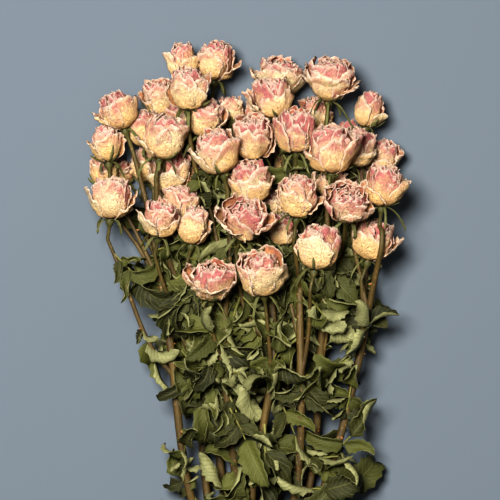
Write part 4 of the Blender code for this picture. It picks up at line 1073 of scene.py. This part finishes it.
def tongue(path, width, face, draw, curl):
    # a leaf-like strip along a path, with its front turned to face
    share = np.linspace(0, 1, len(path))
    tangents = np.gradient(path, axis=0)
    tangents /= norm(tangents, axis=1)[:, None] + 1e-9
    side = np.cross(tangents, face)
    side /= norm(side, axis=1)[:, None] + 1e-9
    side, normal = turned(side, np.cross(side, tangents), draw.uniform(-0.9, 0.9) * share ** 1.5)
    half = width / 2 * np.clip(1.15 * (1 - share) ** 0.55 * (0.55 + 0.9 * share) + 0.03, 0.06, None)
    half = half * (1 + 0.16 * np.sin(share * 19 + draw.uniform(0, 6)))
    across = np.linspace(-1, 1, sepalSettings["columns"])[None, :, None]
    grid = path[:, None, :] + side[:, None, :] * half[:, None, None] * across
    grid = grid + normal[:, None, :] * (curl * half[:, None, None] * np.abs(across) ** 1.6)
    grid = grid + normal[:, None, :] * ripple(grid, 3.0, draw.randrange(999))[..., None] * 0.25
    return blade(grid[:, ::-1], sepalSettings["thickness"], across[..., 0] * width / 2, share[:, None] * sepalLength,
                 {"tone": np.array(draw.random())})


def curve(knots, count):
    # points on the smooth curve that four knots pull
    share = np.linspace(0, 1, count)[:, None]
    while len(knots) > 1:
        knots = [first + (second - first) * share for first, second in zip(knots, knots[1:])]
    return knots[0]


def bloomSepals(stem):
    # the sepals at the end of a stem
    index = stem["bloom"] - 1
    bloom, rows, width = blooms[index], sepalSettings["rows"], sepalSettings["width"]
    right, behind, axis = bloomFrame(bloom)
    top = stem["points"][-1] + axis * hipLength
    draw = random.Random(bloom.number * 11)
    shells = []
    for tip, outward in zip(stem["tips"], sepalDirections(stem)):
        size = norm(tip - top)
        end = top + (tip - top) * sepalSettings["longer"] * draw.uniform(0.55, 1.2)
        end = end - axis * size * draw.uniform(-0.1, 0.35)
        bend = top + outward * size * 0.7 + axis * size * draw.uniform(0.0, 0.35)
        point = end + axis * draw.uniform(-6, 5) + outward * draw.uniform(-4, 4)
        path = curve((top + outward * 2.0 - axis * 1.2, bend, end, point), rows)
        shells.append(tongue(path, width * draw.uniform(0.6, 1.1), np.broadcast_to(axis, path.shape), draw,
                             draw.uniform(0.2, 0.8)))
    line = layerLine(forms[bloom.form], 0.0)
    base = centres[index] - axis * heights[index] / 2
    for _ in range(sepalSettings["lying"]):
        angle = draw.uniform(0, math.tau)
        radius, level = line(np.linspace(0, draw.uniform(0.2, 0.6), rows))
        turn = angle + np.linspace(0, draw.uniform(-0.4, 0.4), rows)
        outward = right * np.cos(turn)[:, None] + behind * np.sin(turn)[:, None]
        away = 0.8 + np.linspace(0, 1, rows) ** 2 * draw.uniform(0.5, 4.0)
        path = base + outward * (radius * bloom.radius + away)[:, None] + axis * (level * heights[index])[:, None]
        shells.append(tongue(squeezeBack(path, index), width * draw.uniform(0.9, 1.9), outward, draw, -0.25))
    return shells


# dried leaf: brittle and matt, dull green above, greyer and paler below, with raised veins
leafSteps = (
    ("blotch", "noise", "place", 1000 / 11, 4, 0.6),
    ("grain", "noise", "place", 1000 / 1.2, 3, 0.6),
    ("fromRib", "x", "uv"),
    ("fromRib", "ABSOLUTE", "fromRib"),
    ("fromRib", "MULTIPLY", "fromRib", 1000),
    ("rib", "MULTIPLY_ADD clamp", "fromRib", -1.1, 1),
    ("flank", "y", "uv"),
    ("flank", "MULTIPLY", "flank", "perVein"),
    ("flank", "MULTIPLY_ADD", "fromRib", "slant", "flank"),
    ("flank", "PINGPONG", "flank", 0.5),
    ("flank", "MULTIPLY_ADD clamp", "flank", -7, 1),
    ("flank", "MULTIPLY", "flank", 0.7),
    ("veins", "MAXIMUM", "rib", "flank"),
    ("top", "tint", "blotch", 1.6, -0.4, "dark", "plain"),
    ("top", "mix", "tone", "top", "dry"),
    ("under", "tint", "blotch", 1.6, -0.4, "darkUnder", "paleUnder"),
    ("colour", "mix", "inside", "top", "under"),
    ("colour", "tint", "veins", 0.55, 0, "colour", "vein"),
    ("colour", "tint", "grain", 0.7, -0.25, "colour", "specks"),
    ("height", "MULTIPLY_ADD", "blotch", 1.2, "grain"),
    ("height", "MULTIPLY_ADD", "veins", 0.6, "height"),
)


def leafMaterial(name, colours, veinSpacing):
    # veinSpacing is in mm; the side veins lean towards the tip
    words = {"perVein": 1000 / veinSpacing, "slant": -0.8 / veinSpacing, **colours}
    return makeMaterial(name, leafSteps, words, (0.0008, 0.8), {
        "Roughness": 0.62, "IOR": 1.45, "Specular IOR Level": 0.35})


driedSepal = leafMaterial("driedSepal", {
    "dark": "#2C3114", "plain": "#474B24", "dry": "#5E5C30", "specks": "#6E5C34",
    "darkUnder": "#565A34", "paleUnder": "#74734A", "vein": "#64623A"}, sepalSettings["vein"])
for number, spray in enumerate(sprays):
    shells = [shell for stem in stems if stem["spray"] == number for shell in bloomSepals(stem)]
    dress(makePiece(spray.name + "_sepals", shells, driedSepal), spray.name)
print("sepals done")


# Canes, branches and hips: a line of points for each stem, which Geometry Nodes turn into bark with prickles
woodSettings = {
    "Step": 2.5 * mm,           # between rings
    "Wobble": 0.5 * mm,
    "Knots": 14.0,              # waves per 100 mm of the wobble, as a noise scale
    "Prickle spacing": 11.0 * mm,
    "Prickle share": 0.45,
}
woodSides = 8
hipRadii = (1.5, 2.3, 3.2, 3.5, 3.3, 2.8, 2.4)
footSwell = (1.35, 1.25, 1.1)   # how much thicker a branch is at its foot


def woodTree(bark, prickleBark, pith):
    tree, add, given = newTree("stems", woodSettings)
    reach, free, green, cut = [
        add("GeometryNodeInputNamedAttribute", [label]) for label in ("reach", "free", "green", "cut")]
    lines = add("GeometryNodeMeshToCurve", [given["Geometry"]])
    lines = add("GeometryNodeResampleCurve", {"Curve": lines, "Length": given["Step"]}, mode="LENGTH")
    wobble = add("ShaderNodeTexNoise", {"Scale": given["Knots"], "Detail": 2.0}, "Color")
    wobble = add("ShaderNodeVectorMath", [wobble, (0.5, 0.5, 0.5)], operation="SUBTRACT")
    amount = add("ShaderNodeMath", [given["Wobble"], 2.0], operation="MULTIPLY")
    amount = add("ShaderNodeMath", [amount, free], operation="MULTIPLY")
    move = add("ShaderNodeVectorMath", {0: wobble, "Scale": amount}, operation="SCALE")
    lines = add("GeometryNodeSetPosition", {"Geometry": lines, "Offset": move})
    lumps = add("ShaderNodeTexNoise", {"Scale": 160.0, "Detail": 2.0})
    width = add("ShaderNodeMath", [lumps, 0.22, 0.89], operation="MULTIPLY_ADD")
    width = add("ShaderNodeMath", [reach, width], operation="MULTIPLY")
    ring = add("GeometryNodeCurvePrimitiveCircle", {"Resolution": woodSides, "Radius": 1.0})
    wood = add("GeometryNodeCurveToMesh", {"Curve": lines, "Profile Curve": ring, "Scale": width, "Fill Caps": True})
    wood = add("GeometryNodeSetMaterial", {"Geometry": wood, "Material": bark})
    # prickles: small bent cones, pointing away from the stem
    spots = add("GeometryNodeCurveToPoints", {"Curve": lines, "Length": given["Prickle spacing"]}, mode="LENGTH")
    chance = add("FunctionNodeRandomValue", {"Probability": given["Prickle share"], "Seed": 5}, 3, data_type="BOOLEAN")
    dry = add("ShaderNodeMath", [green, 0.3], operation="LESS_THAN")
    chosen = add("FunctionNodeBooleanMath", [chance, dry], operation="AND")
    angle = add("FunctionNodeRandomValue", {2: 0.0, 3: math.tau, "Seed": 7}, 1, data_type="FLOAT")
    angle = add("FunctionNodeAxisAngleToRotation", {"Axis": (0.0, 0.0, 1.0), "Angle": angle})
    angle = add("FunctionNodeRotateRotation", [spots.node.outputs["Rotation"], angle], rotation_space="LOCAL")
    thorn = add("GeometryNodeMeshCone", {
        "Vertices": 5, "Side Segments": 2, "Radius Top": 0.02, "Radius Bottom": 0.55, "Depth": 1.0})
    thorn = add("GeometryNodeTransform", {"Geometry": thorn, "Translation": (0.7, 0.0, -0.1),
                                          "Rotation": (0.0, math.radians(98), 0.0), "Scale": (1.0, 0.5, 1.1)})
    size = add("FunctionNodeRandomValue", {2: 0.75, 3: 1.25, "Seed": 11}, 1, data_type="FLOAT")
    size = add("ShaderNodeMath", [reach, size], operation="MULTIPLY")
    thorns = {"Points": spots, "Selection": chosen, "Instance": thorn, "Rotation": angle, "Scale": size}
    # a disc of pith on each cut end
    ends = add("GeometryNodeCurveEndpointSelection", {"Start Size": 1, "End Size": 0})
    cut = add("ShaderNodeMath", [cut, 0.5], operation="GREATER_THAN")
    ends = add("FunctionNodeBooleanMath", [ends, cut], operation="AND")
    facing = add("FunctionNodeAlignRotationToVector", {"Vector": add("GeometryNodeInputTangent")}, axis="Z")
    disc = add("GeometryNodeMeshCylinder", {"Vertices": 12, "Radius": 0.72, "Depth": 0.16})
    discs = {"Points": lines, "Selection": ends, "Instance": disc, "Rotation": facing, "Scale": reach}
    parts = [wood]
    for instances, material in ((thorns, prickleBark), (discs, pith)):
        placed = add("GeometryNodeRealizeInstances", [add("GeometryNodeInstanceOnPoints", instances)])
        parts.insert(0, add("GeometryNodeSetMaterial", {"Geometry": placed, "Material": material}))
    add("NodeGroupOutput", [add("GeometryNodeSetShadeSmooth", [add("GeometryNodeJoinGeometry", [parts])])])
    return tree


def stemRun(stem):
    # the points of one stem with its hip, and on them its radii, how green it is, how free it is to wobble, and
    # whether its foot is cut
    last, count = stem["points"][-1], len(stem["points"])
    hip = [last + axes[stem["bloom"] - 1] * hipLength * (part + 1) / len(hipRadii) for part in range(len(hipRadii))]
    reach = join([stem["reach"], hipRadii])
    if not stem["cane"]:
        reach[:3] *= footSwell
    return {
        "points": join([stem["points"], hip]), "reach": reach * mm,
        "green": join([fade(count - 10, count, np.arange(count)) * 0.6, np.full(len(hip), 1.0)]),
        "free": join([np.where(stem["held"], 0.15, 1.0), np.zeros(len(hip))]),
        "cut": np.full(len(reach), float(stem["cane"])),
    }


# dried bark: dull olive brown, finely grooved along the stem, greener near the blooms
barkSteps = (
    ("stretched", "stretch", "place", (1.0, 0.12, 1.0)),
    ("grooves", "noise", "stretched", 1000 / 0.9, 3, 0.6),
    ("patches", "noise", "stretched", 1000 / 9, 4, 0.65),
    ("dots", "noise", "place", 1000 / 2.5, 2),
    ("colour", "tint", "patches", 2.4, -0.8, "dark", "light"),
    ("colour", "tint", "grooves", 1.6, -0.6, "colour", "dark"),
    ("colour", "tint", "green", 0.8, 0, "colour", "fresh"),
    ("colour", "tint", "dots", 9, -5.8, "colour", "scar"),
    ("height", "MULTIPLY_ADD", "patches", 0.8, "grooves"),
)


def barkMaterial(name, *colours):
    return makeMaterial(name, barkSteps, dict(zip(("dark", "light", "fresh", "scar"), colours)), (0.0005, 0.8), {
        "Roughness": 0.6, "IOR": 1.5, "Specular IOR Level": 0.4})


driedBark = barkMaterial("driedRoseBark", "#3E3017", "#6E5A2C", "#454722", "#8A6C40")
driedPrickle = barkMaterial("driedPrickle", "#8A5A30", "#B98A55", "#8A7A48", "#C9A070")
cutPith = barkMaterial("cutPith", "#B79D6C", "#D8C595", "#B79D6C", "#8A7448")
stemTree = woodTree(driedBark, driedPrickle, cutPith)
for number, spray in enumerate(sprays):
    runs = [stemRun(stem) for stem in stems if stem["spray"] == number]
    mesh = linesMesh(spray.name + "_wood", [run["points"] for run in runs], np.zeros((0, 3)), {
        key: gather(runs, key) for key in ("reach", "green", "free", "cut")})
    dress(runTree(stemTree, spray.name + "_wood", mesh, woodSettings), spray.name)
print("stems done")


# Leaves: shrivelled leaflets of several shapes, instanced on points along their stalks. A group of leaves that
# only the scene has says how many, between which heights, the ranges of their lift and size, how far from a bloom
# and how low below it their tips stay, on which sprays, and whether the tips show between the blooms.
leafGroup = namedtuple("leafGroup", "count lowY highY lifts sizes margin under sprays inGaps")
allSprays = range(len(sprays))
leafSettings = {
    "shapes": 16,
    "rows": 12, "columns": 5,
    "length": 37.0,          # mm at size 1
    "width": 24.0,           # mm at size 1
    "thickness": 0.45,       # mm
    "tooth": 0.12,           # of the half width, one tooth every second row
    "vein": 4.2,             # mm between side veins
    "seed": 77,
    "leaflets": ((1.02, 0, 1.0), (0.60, -1, 0.84), (0.60, 1, 0.84), (0.24, -1, 0.62), (0.24, 1, 0.62)),
    "tipReach": 70,          # mm from the root to the tip at size 1
    "lowest": 12,            # mm above the floor
    "groups": (
        leafGroup(50, -232, 14, (-50, 14), (0.8, 1.2), 10, 0.3, allSprays, False),
        leafGroup(18, -190, 10, (-25, 40), (0.8, 1.2), 8, 0.2, (0, 1), False),
        leafGroup(8, -80, 40, (-25, 40), (0.8, 1.2), 8, 0.2, (8, 9), False),
        leafGroup(46, -10, 110, (-35, 15), (0.65, 1.0), 4, -0.7, allSprays, False),
        leafGroup(16, 55, 125, (-20, 50), (0.45, 0.8), 0, 0.2, allSprays, True),
        leafGroup(16, 5, 55, (-20, 45), (0.5, 0.85), 0, 0.1, allSprays, True),
    ),
}
stalkSettings = {"Stalk radius": 0.75 * mm, "Step": 3.0 * mm}


def leafletShape(number):
    # one leaflet as a closed shell, its foot at the origin, its tip along y and its upper side up, in mm
    draw = random.Random(leafSettings["seed"] + number)
    rows, columns, length = leafSettings["rows"], leafSettings["columns"], leafSettings["length"]
    share = np.linspace(0, 1, rows)
    across = np.linspace(-1, 1, columns)
    width = leafSettings["width"] * draw.uniform(0.85, 1.1)
    curl = math.radians(draw.choice((-70, 40, 80, 120, 170)) + draw.uniform(-20, 20))
    bend = curl * share ** draw.uniform(1.0, 2.0)
    along = np.stack([np.zeros(rows), np.cos(bend), -np.sin(bend)], axis=1)
    rib = join([[np.zeros(3)], np.cumsum(along[:-1] * (length / (rows - 1)), axis=0)])
    rib[:, 0] += math.sin(draw.uniform(-1, 1)) * share ** 2 * 7
    up = np.stack([np.zeros(rows), np.sin(bend), np.cos(bend)], axis=1)
    side = np.tile([1.0, 0.0, 0.0], (rows, 1))
    side, up = turned(side, up, math.radians(draw.uniform(-110, 110)) * share ** 1.3)
    half = (np.sin(math.pi * share ** 0.78) ** 0.62 * 0.98 + 0.02) * width / 2
    teeth = 1 + leafSettings["tooth"] * (-1) ** np.arange(rows)
    folds = [draw.uniform(0.05, 1.0) for _ in (0, 1)]
    rolls = [draw.uniform(-0.7, 2.4) + 0.01 for _ in (0, 1)]
    grid = np.zeros((rows, columns, 3))
    for column, place in enumerate(across):
        edge = abs(place)
        reach = half * (teeth if edge > 0.95 else 1.0)
        fold = folds[int(place > 0)] * (1 - 0.3 * share)
        roll = rolls[int(place > 0)] * fade(0.0, 0.6, share) + 0.01
        out = reach * (np.sin(fold + roll * edge) - np.sin(fold)) / roll
        rise = reach * (np.cos(fold) - np.cos(fold + roll * edge)) / roll
        grid[:, column] = rib + side * (np.sign(place) * out)[:, None] + up * rise[:, None]
    # side veins, and crumples that grow towards the edges
    fromRib = np.abs(across)[None, :]
    ribs = np.sin((share[:, None] * length - fromRib * width * 0.4) * math.tau / leafSettings["vein"])
    grid = grid + up[:, None, :] * (ribs * 0.4 * fromRib)[..., None]
    crumple = ripple(grid, 11.0, number) * 3.2 + ripple(grid, 5.0, number + 50) * 1.1
    crumple = crumple * (0.25 + 0.75 * fromRib) * fade(0.0, 0.2, share)[:, None]
    grid = grid + up[:, None, :] * crumple[..., None]
    return blade(grid, leafSettings["thickness"], across[None, :] * width / 2, share[:, None] * length, {})


def leafTree(leaf, stalk, shapes):
    tree, add, given = newTree("leaves", stalkSettings)
    leaflet, size, shape = [
        add("GeometryNodeInputNamedAttribute", [label]) for label in ("leaflet", "size", "shape")]
    along, upwards = [add("GeometryNodeInputNamedAttribute", [label], data_type="FLOAT_VECTOR")
                      for label in ("along", "upwards")]
    onStalk = add("ShaderNodeMath", [leaflet, 0.5], operation="LESS_THAN")
    lines = add("GeometryNodeSeparateGeometry", [given["Geometry"], onStalk], domain="POINT")
    feet = lines.node.outputs["Inverted"]
    lines = add("GeometryNodeMeshToCurve", [lines])
    lines = add("GeometryNodeResampleCurve", {"Curve": lines, "Length": given["Step"]}, mode="LENGTH")
    ring = add("GeometryNodeCurvePrimitiveCircle", {"Resolution": 5, "Radius": given["Stalk radius"]})
    stalks = add("GeometryNodeCurveToMesh", {"Curve": lines, "Profile Curve": ring, "Scale": size, "Fill Caps": True})
    stalks = add("GeometryNodeSetMaterial", {"Geometry": stalks, "Material": stalk})
    pool = add("GeometryNodeCollectionInfo", {
        "Collection": shapes, "Separate Children": True, "Reset Children": True})
    facing = add("FunctionNodeAxesToRotation", {"Primary Axis": along, "Secondary Axis": upwards},
                 primary_axis="Y", secondary_axis="Z")
    shape = add("FunctionNodeFloatToInt", [shape], rounding_mode="ROUND")
    leaflets = add("GeometryNodeInstanceOnPoints", {
        "Points": feet, "Instance": pool, "Pick Instance": True, "Instance Index": shape, "Rotation": facing,
        "Scale": size})
    leaflets = add("GeometryNodeRealizeInstances", [leaflets])
    leaflets = add("GeometryNodeSetMaterial", {"Geometry": leaflets, "Material": leaf})
    joined = add("GeometryNodeJoinGeometry", [[leaflets, stalks]])
    add("NodeGroupOutput", [add("GeometryNodeSetShadeSmooth", [joined])])
    return tree


def leafParts(leaf, draw):
    # one leaf's stalk line, and for each leaflet its foot, direction, upper side, size and shape
    root, along, normal, grown, _ = leaf
    normal = unit(normal - along * (normal @ along))
    side = np.cross(along, normal)
    stalk = stalkLength * grown
    droop = draw.uniform(0.05, 0.4)
    down = np.array([0.0, 1.0, 0.0])

    def spot(share):
        return (root + along * stalk * share - normal * stalk * stalkBend * share ** 2
                - down * stalk * droop * share ** 2)

    spots = []
    for place, edge, grow in leafSettings["leaflets"]:
        angle = pairAngle * draw.uniform(0.7, 1.15)
        out = along if edge == 0 else along * math.cos(angle) + side * edge * math.sin(angle)
        out = unit(out - down * draw.uniform(0.1, 1.3 if edge else 0.7) + normal * draw.uniform(-0.5, 0.3))
        # near the floor a leaflet points up and lies flat
        size = grown * grow * draw.uniform(0.85, 1.15)
        foot = spot(place)
        out[2] = max(out[2], (13 - foot[2]) / (leafSettings["length"] * size))
        face = normal + side * draw.uniform(-0.9, 0.9) + np.array([0.0, 0.0, max(0.0, (24 - foot[2]) / 6)])
        spots.append((foot, unit(out), unit(face), size, draw.randrange(leafSettings["shapes"])))
    return spot(np.linspace(-0.06, 1.0, 9)[:, None]), spots


def leavesMesh(name, leavesOfSpray, draw):
    # stalk lines and leaflet points of a spray in one mesh
    grown = [leafParts(leaf, draw) for leaf in leavesOfSpray]
    lines = [line for line, _ in grown]
    feet, outs, faces, sizes, shapes = [np.array(column) for column in zip(*[
        spot for _, spots in grown for spot in spots])]
    stalkSizes = [np.linspace(1.5, 0.8, len(line)) * leaf[3] for line, leaf in zip(lines, leavesOfSpray)]
    blank, blankVectors = np.zeros(sum(len(line) for line in lines)), np.zeros((sum(len(line) for line in lines), 3))
    return linesMesh(name, lines, feet, {
        "leaflet": join([blank, np.ones(len(feet))]), "size": join([*stalkSizes, sizes]),
        "shape": join([blank, shapes]), "tone": join([blank, [draw.random() for _ in feet]]),
        "along": join([blankVectors, outs]), "upwards": join([blankVectors, faces]),
    })


def fitsBelow(tip, margin, under):
    # whether a leaf with this tip stays lower than every bloom that it comes near in the picture
    near = norm(centres[:, :2] - tip[:2], axis=1) < radii + margin
    return not (near & (tip[2] > centres[:, 2] + radii * under)).any()


def growLeaves(group):
    # adds the leaves of a group at random places on the stems
    added = 0
    while added < group.count:
        stem = stems[draw.randrange(len(stems))]
        if stem["spray"] not in group.sprays:
            continue
        usable = stem["points"][(stem["points"][:, 1] > group.lowY) & (stem["points"][:, 1] < group.highY)]
        along = unit(swungOut(draw, (-160, 160), group.lifts) - (0, 0.4, 0))
        size = draw.uniform(*group.sizes)
        normal = np.array([draw.uniform(-0.8, 0.8), draw.uniform(-0.8, 0.8), draw.uniform(0.3, 1.0)])
        if len(usable) == 0:
            continue
        root = usable[draw.randrange(len(usable))]
        tip = root + along * size * leafSettings["tipReach"]
        left, right = zoneLimits(tip[1])
        inView = left < tip[0] < right and -258 <= tip[1] <= 128 and min(tip[2], root[2]) >= leafSettings["lowest"]
        hidden = group.inGaps and (norm(centres[:, :2] - tip[:2], axis=1) < radii * 0.95).any()
        if inView and not hidden and fitsBelow(tip, group.margin, group.under) and fitsBelow(root, 0, 0.3):
            leafSets[stem["spray"]].append((root + along * caneRadius * 0.4, along, normal, size, 0.0))
            added += 1


# the leaves of the solids, and then those that fill the bunch: most hang, and none stands before a bloom
leafSets = [[leaf for number, leaf in leaves if number == spray] for spray in allSprays]
draw = random.Random(leafSettings["seed"])
for group in leafSettings["groups"]:
    growLeaves(group)

driedLeaf = leafMaterial("driedLeaf", {
    "dark": "#12150A", "plain": "#2B2E13", "dry": "#595B2B", "specks": "#4E4521",
    "darkUnder": "#6C6B48", "paleUnder": "#A6A474", "vein": "#77764A"}, leafSettings["vein"])
leafStalk = barkMaterial("driedLeafStalk", "#5C5A2C", "#8A8748", "#8A8748", "#8A7A48")
pool = bpy.data.collections.new("leaflets")
for number in range(leafSettings["shapes"]):
    shape = makePiece("leaflet_%02d" % number, [leafletShape(number)], driedLeaf, False)
    bpy.context.scene.collection.objects.unlink(shape)
    pool.objects.link(shape)
tree = leafTree(driedLeaf, leafStalk, pool)
for number, spray in enumerate(sprays):
    name = spray.name + "_leaves"
    mesh = leavesMesh(name, leafSets[number], random.Random(number + 40))
    dress(runTree(tree, name, mesh, stalkSettings), spray.name)
for shape in list(pool.objects):
    bpy.data.objects.remove(shape)
bpy.data.collections.remove(pool)
print("leaves done")


# The tie: one flat rubber band wound round the stems
bandSettings = {
    "Turns": 3,
    "Pitch": 4.6 * mm,
    "Strip width": 4.2 * mm,
    "Strip thickness": 1.5 * mm,
    "Corner": 5.5 * mm,
}
bandStep = 1.2 * mm
stripCorner = 0.4 * mm


def bandTree(rubber, size):
    tree, add, given = newTree("band", bandSettings)
    loop = add("GeometryNodeCurvePrimitiveQuadrilateral", {"Width": size[0], "Height": size[2]})
    loop = add("GeometryNodeFilletCurve", {"Curve": loop, "Radius": given["Corner"], "Count": 8}, mode="POLY")
    loop = add("GeometryNodeResampleCurve", {"Curve": loop, "Length": bandStep}, mode="LENGTH")
    loop = add("GeometryNodeTransform", {"Geometry": loop, "Rotation": (math.radians(90), 0.0, 0.0)})
    strip = add("GeometryNodeCurvePrimitiveQuadrilateral", {
        "Width": given["Strip thickness"], "Height": given["Strip width"]})
    strip = add("GeometryNodeFilletCurve", {"Curve": strip, "Radius": stripCorner, "Count": 3}, mode="POLY")
    turn = add("GeometryNodeCurveToMesh", {"Curve": loop, "Profile Curve": strip})
    # the turns lie side by side, evenly about the middle, each a little tilted
    start = add("ShaderNodeMath", [given["Turns"], 1.0], operation="SUBTRACT")
    start = add("ShaderNodeMath", [start, given["Pitch"]], operation="MULTIPLY")
    start = add("ShaderNodeMath", [start, -0.5], operation="MULTIPLY")
    start = add("ShaderNodeCombineXYZ", {1: start})
    step = add("ShaderNodeCombineXYZ", {1: given["Pitch"]})
    spots = add("GeometryNodeMeshLine", {"Count": given["Turns"], "Offset": step, "Start Location": start},
                mode="OFFSET")
    tilt = add("FunctionNodeRandomValue", {0: (-0.02, 0.0, -0.05), 1: (0.02, 0.0, 0.05), "Seed": 3},
               data_type="FLOAT_VECTOR")
    tilt = add("FunctionNodeEulerToRotation", [tilt])
    turns = add("GeometryNodeInstanceOnPoints", {"Points": spots, "Instance": turn, "Rotation": tilt})
    turns = add("GeometryNodeRealizeInstances", [turns])
    turns = add("GeometryNodeSetPosition", {"Geometry": turns, "Offset": tuple((bandLow + bandHigh) / 2 * mm)})
    turns = add("GeometryNodeSetShadeSmooth", [turns])
    add("NodeGroupOutput", [add("GeometryNodeSetMaterial", {"Geometry": turns, "Material": rubber})])
    return tree


# natural rubber: tan and smooth, dulled by dust
rubberSteps = (
    ("dust", "noise", "place", 1000 / 4, 4, 0.5),
    ("colour", "mix", "dust", "#B8915A", "#CFB283"),
    ("height", "MULTIPLY", "dust", 1),
)
naturalRubber = makeMaterial("naturalRubber", rubberSteps, {}, (0.0002, 0.4), {"Roughness": 0.5, "IOR": 1.52})
bandSize = (bandHigh - bandLow) * mm - bandSettings["Strip thickness"] * 1.15
bandMesh = bpy.data.meshes.new("band_turns")
band = runTree(bandTree(naturalRubber, bandSize), "band_turns", bandMesh, bandSettings)
dress(band, "band")
print("band done")


# Floor, lights and camera
stageSettings = {
    "floor": "#636A70",
    "floorSize": 6.0,
    "photoWidth": 0.375,        # metres of the bunch across the picture, at the height below
    "photoHeight": 0.07,
    "cameraHeight": 2.5,
    "sensor": 36,               # mm
    "aim": (0.0, 0.05, 0.06),   # what the lights point at, from the middle of the bunch
    "lights": (                 # name, place from the middle of the bunch, power and size
        ("key", (-0.34, 0.34, 2.1), 81, 0.6),
        ("fill", (1.0, 1.0, 1.3), 1.5, 1.0),
        ("front", (0.1, -0.3, 2.3), 3, 0.8),
    ),
    "sky": "#E4ECF4",
    "skyStrength": 0.035,
}
middle = mathutils.Vector(layoutShift * mm)
half = stageSettings["floorSize"] / 2
floorMesh = bpy.data.meshes.new("floor")
floorMesh.from_pydata([(-half, -half, 0), (half, -half, 0), (half, half, 0), (-half, half, 0)], [], [(0, 1, 2, 3)])
floor = addObject("floor", floorMesh)
# mat paper: even and dull
paper = bpy.data.materials.new("matPaperBackdrop")
paper.use_nodes = True
finish = {"Base Color": toLinear(stageSettings["floor"]), "Roughness": 0.9, "Specular IOR Level": 0.2}
for key, value in finish.items():
    paper.node_tree.nodes["Principled BSDF"].inputs[key].default_value = value
floorMesh.materials.append(paper)

aim = middle + mathutils.Vector(stageSettings["aim"])
for name, offset, power, size in stageSettings["lights"]:
    light = bpy.data.lights.new(name, "AREA")
    light.energy = power
    light.shape = "DISK"
    light.size = size
    holder = addObject(name, light)
    holder.location = middle + mathutils.Vector(offset)
    holder.rotation_euler = (aim - holder.location).to_track_quat("-Z", "Y").to_euler()
world = bpy.data.worlds.new("studio")
world.use_nodes = True
background = world.node_tree.nodes["Background"]
background.inputs["Color"].default_value = toLinear(stageSettings["sky"])
background.inputs["Strength"].default_value = stageSettings["skyStrength"]
bpy.context.scene.world = world
bpy.context.scene.view_settings.view_transform = "Standard"
bpy.context.scene.view_settings.look = "High Contrast"

camera = bpy.data.cameras.new("camera")
camera.sensor_width = stageSettings["sensor"]
distance = stageSettings["cameraHeight"] - stageSettings["photoHeight"]
camera.lens = stageSettings["sensor"] * distance / stageSettings["photoWidth"]
camera.clip_end = 20
cameraObject = addObject("camera", camera)
cameraObject.location = (middle[0], middle[1], stageSettings["cameraHeight"])
bpy.context.scene.camera = cameraObject
